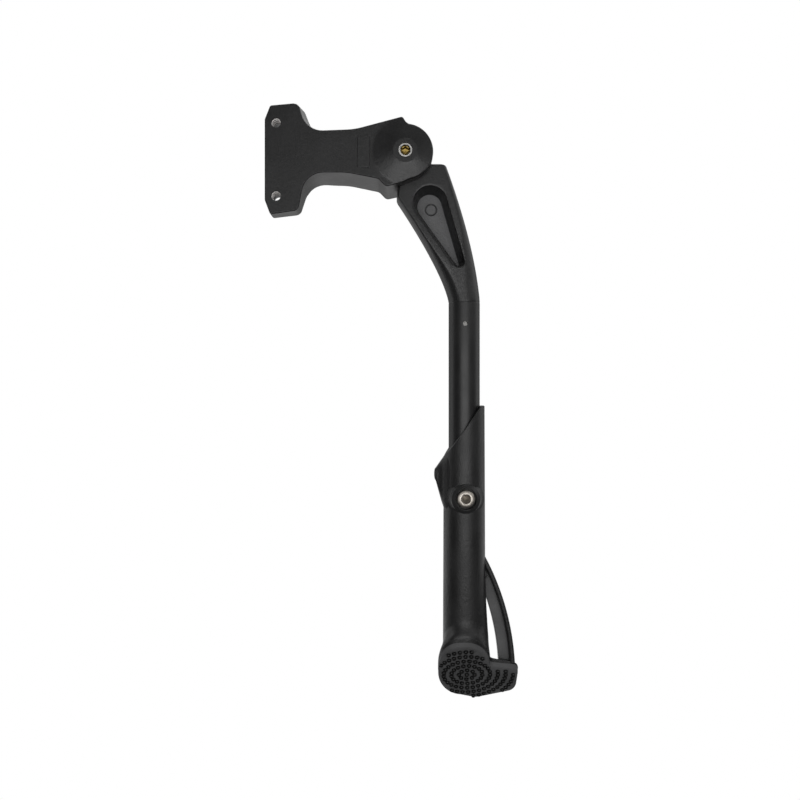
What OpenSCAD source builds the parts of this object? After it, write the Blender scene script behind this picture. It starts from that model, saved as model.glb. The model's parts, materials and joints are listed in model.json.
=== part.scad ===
// Side-mounted bicycle kickstand: a folding leg with a foot that slides to set its length.
// The frame bolts to the flat face of the bracket at y = 0, halfway between the two holes.
// x runs along the bracket's arm, y through its thickness and z up. All sizes are in mm.

/* [Frame plate] */
// Distance between the two threaded frame bolt holes
hole_pitch = 40; // [36:0.5:46]
// Bore diameter of the frame bolt holes
hole_d = 6; // [5:0.1:6.6]
// From the line of holes to the plate's free edge
plate_left = 6.3; // [5.5:0.1:9]
// From the line of holes to the plate's arm side, at the plate's ends
plate_right = 11; // [9:0.1:13]
// From each bolt hole to the plate's end
plate_end = 10.6; // [9:0.1:13]
// Plate thickness at its two ends
plate_end_t = 10; // [8:0.5:14]
// Plate thickness beside the arm
plate_t = 22; // [19:0.5:25]

/* [Arm and fork] */
// From the line of holes to the pivot
arm_reach = 70.8; // [66:0.1:80]
// Height of the pivot above the middle of the bolt holes
pivot_rise = 4.3; // [3:0.1:6]
// Height of the arm at its narrowest
arm_h = 22.8; // [21:0.1:24.5]
// Thickness of the arm behind the plate
arm_t = 28.5; // [26:0.5:30]
// Thickness of the fork over both cheeks
fork_t = 30.9; // [30.5:0.1:33]
// Radius of the round cheeks
cheek_r = 15.3; // [14.8:0.1:16]
// Thickness of the front cheek
cheek_t = 5.4; // [4.5:0.1:5.6]
// Reach of the upper stop horn from the pivot
top_horn_r = 19.5; // [18:0.1:21]
// Reach of the lower stop horn from the pivot
low_horn_r = 22; // [20:0.1:23]
// Height of the shallow cone round the axle
cone_h = 3; // [1:0.1:4]
// Radius of the cone at its foot
cone_r = 18; // [16:0.1:20]
// Radius of the flat boss on top of the cone
boss_r = 7; // [6:0.1:8]
// Chamfer on the bracket's front and back edges
edge = 0.7; // [0.3:0.1:0.8]

/* [Pivot] */
// Diameter of the hollow pivot axle
axle_d = 7.8; // [7:0.1:8.4]
// Bore of the pivot axle
axle_bore_d = 5.4; // [4.8:0.1:5.8]
// Across flats of the set screw's socket
socket_af = 4; // [3:0.5:4]
// Length of the set screw
set_screw_l = 16; // [8:0.5:20]
// How far the set screw sits below the axle's end
set_screw_sink = 1.2; // [0.5:0.1:3]
// Across flats of the axle's lock nut
axle_nut_af = 13; // [12.5:0.5:14]
// Thickness of the axle's lock nut
axle_nut_t = 4.5; // [3:0.5:6]
// Thickness of the axle's washer
washer_t = 1; // [0.6:0.1:1.5]
// Outer diameter of the axle's washer
washer_d = 15; // [14.5:0.5:17]
// Outer diameter of the bearing bushes
bush_d = 10.6; // [10:0.1:12]
// Length of each bush inside the knuckle
bush_l = 6; // [4:0.5:8]
// Diameter of the bush flanges
flange_d = 16; // [13:0.5:20]
// Thickness of the bush flanges
flange_t = 0.7; // [0.5:0.1:0.8]
// Radial running clearance of the axle in the bushes
run_fit = 0.05; // [0.03:0.01:0.08]
// Side clearance between a bush flange and its cheek
side_gap = 0.1; // [0.05:0.01:0.2]

/* [Detent] */
// Diameter of the spring-loaded plunger
plunger_d = 10; // [8:0.1:11]
// Length of the plunger's guided part
plunger_l = 14; // [10:0.5:18]
// Length of the spigot that centres the spring
spigot_l = 4; // [2:0.5:5]
// Depth of the plunger's bore, from the fork
plunger_bore_l = 34; // [32:0.5:38]
// Wire diameter of the detent spring
wire_d = 1.4; // [1:0.1:1.6]
// Active turns of the detent spring
spring_turns = 6; // [4:1:8]
// Thickness of the hardened disc under the spring
seat_t = 1; // [0.6:0.1:2]
// Depth of the two flats on the knuckle
flat_depth = 0.8; // [0.4:0.1:0.9]

/* [Upper leg] */
// Radius of the leg's knuckle
knuckle_r = 14.3; // [13.5:0.1:14.6]
// Thickness of the cast leg
leg_t = 17.8; // [17.6:0.1:18.4]
// From the pivot to the leg tube's axis, sideways
leg_offset = 33.4; // [31:0.1:36]
// From the pivot down to the seam where the tube starts
seam_drop = 81.3; // [76:0.1:90]
// From the pivot down to the leg's shoulder
shoulder_drop = 4.8; // [4.2:0.1:6]
// From the pivot out to the end of the shoulder
shoulder_reach = 22.6; // [21.5:0.1:24.5]
// From the pivot down to the heel that meets the lower horn
heel_drop = 22.9; // [21:0.1:25]
// Depth of the teardrop pocket
pocket_depth = 12; // [4:0.5:14]
// Radius of the pocket's wide end
pocket_r = 9.2; // [7.5:0.1:9.4]
// Radius of the pocket's narrow end
pocket_tip_r = 3; // [2.4:0.1:3.4]
// Draft of the pocket's walls, at the floor
pocket_draft = 2.4; // [0.5:0.1:2.4]
// Full swing of the leg, in degrees
swing = 108; // [90:1:108]

/* [Leg tube] */
// Outer diameter of the leg tube
tube_d = 17.6; // [17:0.1:17.6]
// Wall of the leg tube
tube_wall = 2.9; // [2.4:0.1:3.2]
// Length of the leg tube
tube_l = 154; // [150:0.5:160]
// From the seam down to the cross pin
pin_drop = 12.3; // [10:0.1:16]
// Diameter of the cross pin
pin_d = 2.6; // [2:0.1:3.2]
// Length of the spigot inside the tube
tube_spigot_l = 26; // [22:0.5:34]

/* [Lower leg] */
// From the seam down to the clamp screw
clamp_drop = 109.4; // [106:0.1:112]
// Diameter of the sleeve at its mouth
sleeve_top_d = 23; // [22.6:0.1:24]
// Diameter of the sleeve above the foot
sleeve_low_d = 24; // [23.6:0.1:25]
// From the clamp screw up to the sleeve's highest point
mouth_rise = 51.5; // [46:0.1:54]
// From the clamp screw up to the slanted mouth, at the tube's axis
mouth_mid_rise = 39.1; // [37:0.1:41]
// Slope of the slanted mouth, in degrees
mouth_slope = 54.5; // [50:0.5:58]
// Reach of the fin from the tube's axis
fin_reach = 16.8; // [14.5:0.1:18]
// Radial sliding clearance of the tube in the sleeve
slide_fit = 0.08; // [0.05:0.01:0.1]
// Travel of the lower leg upwards
slide_up = 20; // [10:1:22]
// Travel of the lower leg downwards
slide_down = 15; // [5:1:16]

/* [Clamp screw] */
// Diameter of the clamp screw's shank
screw_d = 6; // [5:0.1:6]
// Diameter of the clamp screw's head
head_d = 10; // [9:0.1:10.4]
// Height of the clamp screw's head
head_h = 4; // [3:0.1:4.4]
// Across flats of the clamp screw's socket
clamp_socket_af = 5; // [3:0.5:5]
// Diameter of the counterbore for the head
counterbore_d = 11.5; // [11:0.1:12]
// Diameter of the round screw boss
screw_boss_d = 16; // [15.5:0.1:18]
// How far the screw boss widens towards the sleeve
boss_flare = 2.4; // [1:0.1:3]
// Plastic left between the head and the tube
clamp_wall = 1.2; // [1:0.1:1.6]
// Across flats of the clamp nut
nut_af = 10; // [9:0.1:10]
// Thickness of the clamp nut
nut_t = 5; // [4:0.1:5.2]

/* [Foot] */
// From the clamp screw down to the top of the sole
sole_drop = 81.1; // [76:0.1:90]
// Slant of the sole, in degrees from level
sole_tilt = 51; // [45:0.5:54]
// Radius of the foot round the tube's axis
foot_r = 14.8; // [14:0.1:16]
// Thickness of the rubber sole
pad_t = 1.8; // [1.5:0.1:3]
// Thickness of the foot's plastic rim above the sole
rim_t = 2; // [1.6:0.1:4]
// Height of the flare between the rim and the sleeve
flare_h = 7; // [5:0.5:10]
// Height of the sole's nubs
nub_h = 1.2; // [0.8:0.1:1.6]
// Diameter of the sole's nubs
nub_d = 2.5; // [2:0.1:2.8]
// Distance between the rings of nubs on the sole
nub_pitch = 4.3; // [3.8:0.1:5]
// Distance between the nubs along a ring
nub_step = 3.5; // [3.2:0.1:5]
// Reach of the side tread from the tube's axis
tread_reach = 30.6; // [28:0.1:34]
// Thickness of the side tread where it leaves the round foot
tread_t = 1.6; // [1.2:0.1:4]
// Angle by which the tread gets thinner towards its end
tread_fall = 3.5; // [0:0.5:4]
// Radius of the side strut's outer curve
strut_r = 144; // [130:0.5:160]
// Width of the side strut
strut_w = 8.8; // [7:0.1:9.5]
// Thickness of the side strut, front to back
strut_t = 10; // [8:0.5:12]
// Width of the round bead along the strut's outer edge
lip_t = 2.8; // [2:0.1:3.4]
// Depth of the strut's web behind its bead
recess_depth = 4.5; // [1:0.5:6]
// Height of the strut's top above the top of the sole
strut_h = 47.5; // [42:0.5:54]

/* [Hidden] */
$fn = 64;
far = 200;
blend_fn = 32;
cut = 0.5;

pivot = [arm_reach, pivot_rise];
slab_y0 = cheek_t + side_gap + flange_t;
slab_y1 = slab_y0 + leg_t;
mid_y = (slab_y0 + slab_y1) / 2;
rear_cheek_y = slab_y1 + flange_t + side_gap;
swing_gap = 0.4;
tube_r = tube_d / 2;
tube_x = arm_reach + leg_offset;
seam_z = pivot_rise - seam_drop;
pin_z = seam_z - pin_drop;
tube_end_z = seam_z - tube_l;
clamp_z = seam_z - clamp_drop;
mouth_top_z = clamp_z + mouth_rise;
sole_z = clamp_z - sole_drop;
sole_y = mid_y - foot_r;
sleeve_low_z = sole_z + 6;
heel_ray = 257.5;
stop_gap = 0.3;
low_stop_ray = heel_ray - atan(stop_gap / low_horn_r);
plunger_nose_x = arm_reach - knuckle_r - 0.1;
plunger_back_x = plunger_nose_x - plunger_l;
bore_end_x = arm_reach - knuckle_r - swing_gap - plunger_bore_l;
axle_front_y = -cone_h;
axle_back_y = fork_t + washer_t + axle_nut_t + 1;
slot_w = screw_d + 0.5;
sleeve_bore_r = tube_r + slide_fit;
sleeve_bore_end_z = tube_end_z - slide_up - 1.5;
head_seat_y = mid_y - sleeve_bore_r - clamp_wall;
head_face_y = head_seat_y - head_h;
boss_face_y = head_face_y - 0.2;
nut_seat_y = mid_y + sleeve_bore_r + clamp_wall;
nut_face_y = nut_seat_y + nut_t;
strut_cx = tube_x + tread_reach - 1.8 - strut_r;
strut_cz = sole_z - 20.5;
aluminium = [0.16, 0.16, 0.165];
plastic = [0.11, 0.11, 0.115];
rubber = [0.07, 0.07, 0.075];
steel = [0.72, 0.72, 0.73];
zinc = [0.75, 0.62, 0.32];
bronze = [0.66, 0.5, 0.3];

// An arc about centre c from angle a0 to a1, in n steps
function arc(c, r, a0, a1, n) =
    [for (i = [0:n]) let (a = a0 + (a1 - a0) * i / n) c + r * [cos(a), sin(a)]];

function unit(v) = v / norm(v);
function turned(v, a) = [v.x * cos(a) - v.y * sin(a), v.x * sin(a) + v.y * cos(a)];

// The corner b between a and c, rounded with radius r, as an arc of n steps
function round_corner(a, b, c, r, n) =
    let (u = unit(a - b), v = unit(c - b), half = acos(u * v) / 2,
         centre = b + unit(u + v) * r / sin(half),
         p = b + u * r / tan(half) - centre, q = b + v * r / tan(half) - centre,
         a0 = atan2(p.y, p.x), turn = atan2(q.y, q.x) - a0,
         sweep = turn > 180 ? turn - 360 : turn < -180 ? turn + 360 : turn)
    arc(centre, r, a0, a0 + sweep, n);

// A path whose inner corners [x, y, radius] are rounded, and whose ends stay as they are
function rounded(path, n = 6) =
    [for (i = [0:len(path) - 1]) let (k = path[i], b = [k.x, k.y])
        each i == 0 || i == len(path) - 1 ? [b] :
            round_corner([path[i - 1].x, path[i - 1].y], b,
                         [path[i + 1].x, path[i + 1].y], k.z, n)];

// The closed path p moved inwards by d, for points that run anticlockwise
function inset(p, d) =
    let (n = len(p))
    [for (i = [0:n - 1]) let (t = unit(p[(i + 1) % n] - p[(i + n - 1) % n])) p[i] + d * [-t.y, t.x]];

// A closed skin over rings of equal length, which run anticlockwise seen from the first one's side
module skin(rings) {
    n = len(rings[0]);
    last = len(rings) - 1;
    points = [for (ring = rings) each ring];
    sides = [for (k = [0:last - 1], i = [0:n - 1])
        let (j = (i + 1) % n, a = k * n + i, b = k * n + j, c = a + n, d = b + n)
        each [[a, b, d], [a, d, c]]];
    caps = [[for (i = [n - 1:-1:0]) i], [for (i = [0:n - 1]) last * n + i]];
    polyhedron(points, concat(sides, caps), convexity = 8);
}

// Extrudes an x-z outline through the thickness, from y0 to y1
module along_y(y0, y1) {
    translate([0, y1, 0]) rotate([90, 0, 0]) linear_extrude(y1 - y0, convexity = 8) children();
}

// A cylinder or cone along y, at [x, z]
module rod_y(at, y0, y1, r0, r1) {
    translate([at.x, y0, at.y]) rotate([-90, 0, 0]) cylinder(h = y1 - y0, r1 = r0, r2 = r1);
}

// A hexagonal prism along y, at [x, z], by its size across flats
module hex_y(at, y0, y1, af) {
    translate([at.x, y0, at.y]) rotate([-90, 0, 0]) cylinder(h = y1 - y0, d = af / cos(30), $fn = 6);
}

function at_pivot(r, a) = pivot + r * [cos(a), sin(a)];
function with_r(p, r) = [p.x, p.y, r];

// The bracket's front outline runs anticlockwise: the round cheek, then the top horn, the arm's
// upper edge, the plate and the arm's lower edge to the low horn. Corners are [x, z, radius].
cheek_from = -78;
cheek_to = 83;
cheek_steps = 22;
plate_top = hole_pitch / 2 + plate_end + 0.5;
plate_low = 0.5 - hole_pitch / 2 - plate_end;
plate_bevel = 8;
bevel_run = 3;
bevel_r = 3;
nose_r = 1.6;
plate_corner_r = 3.6;
arm_root_r = 12;
arm_neck_r = 40;
arm_top = pivot_rise + arm_h / 2;
arm_low = pivot_rise - arm_h / 2;
upper_neck_x = arm_reach - 28;
lower_neck_x = arm_reach - 32.3;
horn_tip_r = 1.5;
low_horn_tip_r = 3;
horn_root_r = 8;
plate_and_arm = rounded([
    with_r(at_pivot(cheek_r, cheek_to), 0),
    with_r(at_pivot(cheek_r + 1.1, 89), horn_tip_r),
    with_r(at_pivot(top_horn_r, 94.5), horn_tip_r),
    [upper_neck_x, arm_top + 1, arm_neck_r],
    [plate_right + 5.2, arm_top, arm_root_r],
    [plate_right + 1.1, plate_top, plate_corner_r],
    [bevel_run - plate_left, plate_top - 1.4, nose_r],
    [-plate_left, plate_top - plate_bevel - 1, bevel_r],
    [-plate_left, plate_low + plate_bevel, bevel_r],
    [bevel_run - plate_left, plate_low, nose_r],
    [plate_right + 1.1, plate_low + 2.2, plate_corner_r],
    [plate_right + 5.1, arm_low, arm_root_r],
    [lower_neck_x, arm_low, arm_neck_r],
    [arm_reach - 15, pivot_rise - 14.8, horn_root_r / 2],
    with_r(at_pivot(low_horn_r, 240.6), low_horn_tip_r),
    with_r(at_pivot(cheek_r + 2.2, 262), horn_root_r),
    with_r(at_pivot(cheek_r, cheek_from), 0)]);
// Both ends of that path lie on the cheek's arc, so they are dropped
outline = concat(arc(pivot, cheek_r, cheek_from, cheek_to, cheek_steps),
    [for (i = [1:len(plate_and_arm) - 2]) plate_and_arm[i]]);

// The drafted root between the plate's upper end and the arm grows by root_draft towards the
// back: a band with four corners that runs along the path from the arm to the plate's end
root_draft = 5.4;
back_corner_r = 1.6;
function root_path(d, corner_r) = rounded([
    [upper_neck_x - 8, arm_top + 0.6, 0], [plate_right + 5.2 + d, arm_top, arm_root_r],
    [plate_right + 1.1 + d, plate_top, corner_r], [0, plate_top - 1.2, 0]]);
module upper_root() {
    lap = 0.2;
    sink = 5;
    front = root_path(-lap, plate_corner_r);
    back = root_path(root_draft, back_corner_r);
    skin([for (i = [0:len(front) - 1]) let (p = front[i], q = back[i], x = p.x - sink, z = p.y - sink)
        [[x, edge, z], [x, arm_t, z], [q.x, arm_t, q.y], [p.x, edge, p.y]]]);
}

// A closed ring of triangular section that follows the outline and cuts its edge at y to a
// chamfer; away is 1 for the front edge and -1 for the back one
module chamfer_ring(y, away) {
    n = len(outline);
    over = 0.5;
    deep = inset(outline, edge + over);
    out = inset(outline, -over);
    points = [for (i = [0:n - 1]) each [[deep[i].x, y - away * over, deep[i].y],
        [out[i].x, y + away * (edge + over), out[i].y], [out[i].x, y - away * over, out[i].y]]];
    faces = [for (i = [0:n - 1], k = [0:2])
        let (a = 3 * i + k, b = 3 * i + (k + 1) % 3, c = (b + 3) % (3 * n), d = (a + 3) % (3 * n))
        each away > 0 ? [[a, b, c], [a, c, d]] : [[a, c, b], [a, d, c]]];
    polyhedron(points, faces, convexity = 8);
}

// The blank's back: thin at the plate's free edge and ends, full thickness at the fork
module back_profile() {
    translate([0, 0, -far / 2]) linear_extrude(far)
        polygon([[-far, -far], [-plate_left - 1, plate_end_t + 3], [plate_right, plate_t],
                 [plate_right + 15, arm_t], [arm_reach - 20, fork_t + cut], [far, fork_t + cut],
                 [far, -far]]);
}

// Wedges cut from the back of the plate's two ends, up to x = reach
module end_wedges(reach) {
    for (side = [-1, 1])
        rotate([90, 0, 90]) translate([0, 0, -20]) linear_extrude(20 + reach)
            polygon([[plate_end_t, side * plate_top], [plate_t, side * (plate_top - 17)],
                     [far, side * (plate_top - 17)], [far, side * (plate_top + far)],
                     [plate_end_t, side * (plate_top + far)]]);
}

// The swept room for the knuckle and the leg's shoulders. Its lower stop face lies along the
// heel at rest, and its upper one along the shoulder at full swing.
module fork_slot() {
    along_y(cheek_t, rear_cheek_y) {
        translate(pivot) circle(r = knuckle_r + swing_gap);
        polygon([pivot, at_pivot(far, low_stop_ray), at_pivot(far, 300), at_pivot(far, 0),
                 at_pivot(far, 45), pivot + turned([far, stop_gap - shoulder_drop], swing),
                 pivot + turned([0, stop_gap - shoulder_drop], swing)]);
    }
}

module mount_bracket() {
    color(aluminium) difference() {
        union() {
            difference() {
                intersection() {
                    union() {
                        along_y(0, fork_t) polygon(outline);
                        difference() {
                            upper_root();
                            end_wedges(upper_neck_x);
                        }
                    }
                    back_profile();
                }
                end_wedges(plate_right + 8);
                chamfer_ring(0, 1);
                chamfer_ring(fork_t, -1);
            }
            cheek_cone();
        }
        fork_slot();
        rod_y(pivot, -far, far, axle_d / 2 + run_fit, axle_d / 2 + run_fit);
        translate([bore_end_x, mid_y, pivot_rise]) rotate([0, 90, 0])
            cylinder(h = plunger_bore_l + cut, d = plunger_d + 2 * run_fit);
        for (side = [-1, 1])
            rod_y([0, side * hole_pitch / 2], -cut, far, hole_d / 2, hole_d / 2);
    }
}

// The shallow cone on the front cheek, cut to the bracket's outline
module cheek_cone() {
    root = 0.3;
    intersection() {
        rod_y(pivot, axle_front_y, root, boss_r, cone_r + (cone_r - boss_r) * root / cone_h);
        along_y(axle_front_y - cut, root + cut) polygon(inset(outline, edge + 0.1));
    }
}

module pivot_axle() {
    color(steel) difference() {
        rod_y(pivot, axle_front_y, axle_back_y, axle_d / 2, axle_d / 2);
        rod_y(pivot, axle_front_y - cut, axle_back_y - 3, axle_bore_d / 2, axle_bore_d / 2);
    }
}

module axle_screw() {
    front = axle_front_y + set_screw_sink;
    radius = axle_bore_d / 2 - run_fit;
    color(zinc) difference() {
        rod_y(pivot, front, front + set_screw_l, radius, radius);
        hex_y(pivot, front - cut, front + 4, socket_af);
    }
}

module axle_washer() {
    color(steel) difference() {
        rod_y(pivot, fork_t, fork_t + washer_t, washer_d / 2, washer_d / 2);
        rod_y(pivot, fork_t - cut, fork_t + washer_t + cut, axle_d / 2 + run_fit, axle_d / 2 + run_fit);
    }
}

module axle_nut() {
    front = fork_t + washer_t;
    color(steel) difference() {
        intersection() {
            hex_y(pivot, front, front + axle_nut_t, axle_nut_af);
            rod_y(pivot, front, front + axle_nut_t, axle_nut_af * 0.58, axle_nut_af * 0.54);
        }
        rod_y(pivot, front - cut, far, axle_d / 2 + run_fit, axle_d / 2 + run_fit);
    }
}

// A flanged bush; flange_y is the flange's outer face, and toward is 1 for the front bush
module bush(flange_y, toward) {
    translate([pivot.x, flange_y, pivot.y]) rotate([-90 * toward, 0, 0]) difference() {
        union() {
            cylinder(h = flange_t, d = flange_d);
            cylinder(h = flange_t + bush_l, d = bush_d);
        }
        translate([0, 0, -cut]) cylinder(h = bush_l + 2, r = axle_d / 2 + run_fit);
    }
}

module bush_front() {
    color(bronze) bush(slab_y0 - flange_t, 1);
}

module bush_rear() {
    color(bronze) bush(slab_y1 + flange_t, -1);
}

module detent_plunger() {
    nose = 1.2;
    color(steel) translate([plunger_nose_x, mid_y, pivot_rise]) rotate([0, -90, 0]) {
        cylinder(h = nose, d1 = plunger_d - 2 * nose, d2 = plunger_d);
        translate([0, 0, nose]) cylinder(h = plunger_l - nose, d = plunger_d);
        translate([0, 0, plunger_l]) cylinder(h = spigot_l, d = plunger_d - 2 * wire_d - 1.2);
    }
}

// A coil from x0 to x1 about the plunger's axis, with closed end turns
module detent_spring() {
    x0 = bore_end_x + seat_t + wire_d / 2;
    x1 = plunger_back_x - wire_d / 2;
    coil_r = (plunger_d - wire_d) / 2 - 0.15;
    turns = spring_turns + 2;
    closed = wire_d * 1.03;
    steps = 14;
    sides = 8;
    function along(t) = lookup(t, [[0, x0], [1, x0 + closed], [turns - 1, x1 - closed], [turns, x1]]);
    color(steel) skin([for (i = [0:turns * steps]) let (t = i / steps, a = 360 * t)
        [for (k = [0:sides - 1]) let (b = 360 * k / sides, r = coil_r + wire_d / 2 * cos(b))
            [along(t) + wire_d / 2 * sin(b), mid_y + r * cos(a), pivot_rise + r * sin(a)]]]);
}

module spring_seat() {
    color(steel) translate([bore_end_x, mid_y, pivot_rise]) rotate([0, 90, 0])
        cylinder(h = seat_t, d = plunger_d - 0.2);
}

// The cast leg between knuckle and seam is a loft. Its left edge follows the heel's ray and
// then eases to the tube; its right edge eases from the shoulder to the tube.
shoulder_z = pivot_rise - shoulder_drop;
heel_z = pivot_rise - heel_drop;
heel_lean = tan(heel_ray - 270);
shoulder_edge = 1.3;
flat_side = 0.15;
left_corner_r = 4;
right_corner_r = 2.6;
face_corner_r = 3.4;
function ease(t, power) = 1 - pow(1 - t, power);
function blend(a, b, t) = a + (b - a) * t;
function left_x(z) = z > heel_z ? arm_reach + (pivot_rise - z) * heel_lean :
    blend(arm_reach + heel_drop * heel_lean, tube_x - tube_r, ease((heel_z - z) / (heel_z - seam_z), 1.3));
function right_x(z) =
    blend(arm_reach + shoulder_reach, tube_x + tube_r,
          ease((shoulder_z - z) / (shoulder_z - seam_z), 1.45));

// The ring at height z: a rectangle whose corners grow until it is the tube's circle at the seam
function leg_ring(z, shrink) =
    let (t = (shoulder_z - z) / (shoulder_z - seam_z), most = tube_r - flat_side, n = 8,
         left = left_x(z) + shrink, right = right_x(z) - shrink,
         half_t = blend(leg_t / 2, tube_r, t) - shrink,
         rl = blend(left_corner_r, most, pow(t, 1.2)), rr = blend(right_corner_r, most, pow(t, 2.2)),
         ry = blend(face_corner_r, half_t - flat_side, pow(t, 1.5)))
    [for (corner = [[right - rr, 1, 0, rr], [left + rl, 1, 90, rl],
                    [left + rl, -1, 180, rl], [right - rr, -1, 270, rr]],
          i = [0:n]) let (a = corner[2] + 90 * i / n)
        [corner[0] + corner[3] * cos(a), mid_y + corner[1] * (half_t - ry) + ry * sin(a), z]];

module leg_loft() {
    above = 5;
    below = 13;
    rounded_z = shoulder_z - shoulder_edge;
    skin(concat(
        [leg_ring(shoulder_z, shoulder_edge),
         leg_ring(shoulder_z - shoulder_edge * 0.3, shoulder_edge * 0.38)],
        [for (i = [0:above]) leg_ring(blend(rounded_z, heel_z, i / above), 0)],
        [for (i = [1:below]) leg_ring(blend(heel_z, seam_z, i / below), 0)]));
}

// The teardrop pocket in the leg's front, with drafted walls
pocket_x = arm_reach + 13.9;
pocket_z = pivot_rise - 26.3;
pocket_tip_x = tube_x - 3.6;
pocket_tip_z = seam_z + 22.3;
module pocket() {
    flare = pocket_draft * cut / pocket_depth;
    hull() {
        rod_y([pocket_x, pocket_z], slab_y0 - cut, slab_y0 + pocket_depth,
              pocket_r + flare, pocket_r - pocket_draft, $fn = blend_fn);
        rod_y([pocket_tip_x, pocket_tip_z], slab_y0 - cut, slab_y0 + pocket_depth,
              pocket_tip_r + flare, pocket_tip_r - pocket_draft + 0.1, $fn = blend_fn);
    }
}

module upper_leg() {
    color(aluminium) difference() {
        union() {
            rod_y(pivot, slab_y0, slab_y1, knuckle_r, knuckle_r);
            leg_loft();
            translate([tube_x, mid_y, seam_z - tube_spigot_l])
                cylinder(h = tube_spigot_l + 1, r = tube_r - tube_wall - run_fit);
        }
        for (turn = [0, swing])
            translate([pivot.x, 0, pivot.y]) rotate([0, turn, 0])
                translate([-knuckle_r - far, -far, -far / 2]) cube([far + flat_depth, 2 * far, far]);
        rod_y(pivot, slab_y0 - cut, slab_y1 + cut, axle_d / 2 + 0.5, axle_d / 2 + 0.5);
        rod_y(pivot, slab_y0 - cut, slab_y0 + bush_l + 0.2, bush_d / 2, bush_d / 2);
        rod_y(pivot, slab_y1 - bush_l - 0.2, slab_y1 + cut, bush_d / 2, bush_d / 2);
        pocket();
        rod_y([tube_x, pin_z], -far, far, pin_d / 2 + run_fit, pin_d / 2 + run_fit);
    }
}

module leg_tube() {
    color(aluminium) difference() {
        translate([tube_x, mid_y, tube_end_z]) cylinder(h = tube_l, r = tube_r);
        translate([tube_x, mid_y, tube_end_z - cut]) cylinder(h = tube_l + 1, r = tube_r - tube_wall);
        rod_y([tube_x, pin_z], -far, far, pin_d / 2 + run_fit, pin_d / 2 + run_fit);
        along_y(mid_y - tube_d, mid_y + tube_d) {
            for (z = [clamp_z + slide_up, clamp_z - slide_down])
                translate([tube_x, z]) circle(d = slot_w);
            translate([tube_x - slot_w / 2, clamp_z - slide_down]) square([slot_w, slide_up + slide_down]);
        }
    }
}

module tube_pin() {
    color(steel) rod_y([tube_x, pin_z], mid_y - tube_r + 1.2, mid_y + tube_r - 0.4, pin_d / 2, pin_d / 2);
}

// Space beyond a plane parallel to the sole, lying the given depth above it
module beyond_sole(depth) {
    translate([0, sole_y, sole_z]) rotate([-sole_tilt, 0, 0])
        translate([-far, -far, depth - 2 * far]) cube(2 * far);
}

// Outline of the foot seen from below: round about the tube, with a tread to the side that
// narrows to a rounded end
tread_front = 3.6;
tread_taper = 2;
tread_end_w = 15;
tread_front_r = 3;
tread_back_r = 5;
toe_shift = 3.6;
module foot_outline() {
    end_x = tube_x + tread_reach;
    front_y = mid_y - tread_front;
    translate([tube_x, mid_y]) circle(r = foot_r);
    translate([tube_x - toe_shift, mid_y - toe_shift]) circle(r = foot_r - toe_shift - 0.1);
    polygon(concat(
        [[tube_x + foot_r * 0.3, front_y], [tube_x + foot_r - 1, front_y]],
        arc([end_x - tread_front_r, front_y + tread_taper + tread_front_r], tread_front_r, -90, 0, 4),
        arc([end_x - tread_back_r, front_y + tread_end_w - tread_back_r], tread_back_r, 0, 60, 4),
        [for (p = [[0.7, 0.9], [0.47, 1.3], [0.2, 0.8], [-0.1, -0.1]])
            [tube_x + foot_r * p.x, mid_y + foot_r + p.y]]));
}

// The column that the slanted planes of the foot cut
column_z = sole_z - 60;
column_l = 100;
module foot_column() {
    translate([0, 0, column_z]) linear_extrude(column_l) foot_outline();
}

// A slice of a round column, parallel to the sole; shift moves it to the front and the free side
module slanted_slice(depth, r, shift = 0) {
    intersection() {
        translate([tube_x - shift, mid_y - shift, column_z]) cylinder(h = column_l, r = r);
        difference() {
            beyond_sole(depth + 0.2);
            beyond_sole(depth);
        }
    }
}

module foot() {
    hull() {
        for (depth = [pad_t, pad_t + rim_t]) {
            slanted_slice(depth, foot_r, $fn = blend_fn);
            slanted_slice(depth, foot_r - toe_shift - 0.1, toe_shift, $fn = blend_fn);
        }
        slanted_slice(pad_t + rim_t + flare_h, sleeve_low_d / 2, $fn = blend_fn);
    }
    intersection() {
        foot_column();
        difference() {
            beyond_sole(pad_t + tread_t);
            beyond_sole(pad_t);
            above_tread();
        }
    }
}

// Space above the tread's upper face, which falls towards the tread's end
module above_tread() {
    translate([tube_x + foot_r, sole_y, sole_z]) rotate([-sole_tilt, 0, 0])
        translate([0, 0, pad_t + tread_t]) rotate([0, tread_fall, 0])
            translate([-far, -far, 0]) cube(2 * far);
}

// The curved strut between the sleeve and the tread: its section of web and round outer bead,
// as [radius, y], turned about the strut's centre
module strut() {
    front = mid_y - tread_front + 1;
    back = front + strut_t;
    inner = strut_r - strut_w;
    bead = strut_r - lip_t;
    web = front + recess_depth;
    bead_r = lip_t * 0.45;
    web_r = 0.6;
    foot_depth = 33;
    section = rounded([[inner + 2, back, 0], [inner, back, web_r], [inner, web, web_r], [bead, web, web_r],
                       [bead, front, bead_r], [strut_r, front, bead_r], [strut_r, back, web_r],
                       [inner + 3, back, 0]]);
    intersection() {
        translate([strut_cx, 0, strut_cz]) rotate([-90, 0, 0]) rotate_extrude($fn = 180) polygon(section);
        along_y(0, far) translate([tube_x + 6, sole_z - foot_depth]) square([far, strut_h + foot_depth]);
    }
}

// The fin beside the slanted mouth
fin_root_w = 16.4;
fin_edge_w = 5.2;
module fin_slice(x, z, w, h) {
    translate([x, mid_y - w / 2, clamp_z + z]) cube([1, w, h]);
}
module fin() {
    hull() {
        fin_slice(tube_x - sleeve_top_d / 3, -6, fin_root_w, 40);
        fin_slice(tube_x - fin_reach, 9, fin_edge_w, 12);
        fin_slice(tube_x - sleeve_top_d / 2 - 0.5, -5, fin_edge_w, 4);
    }
}

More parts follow.
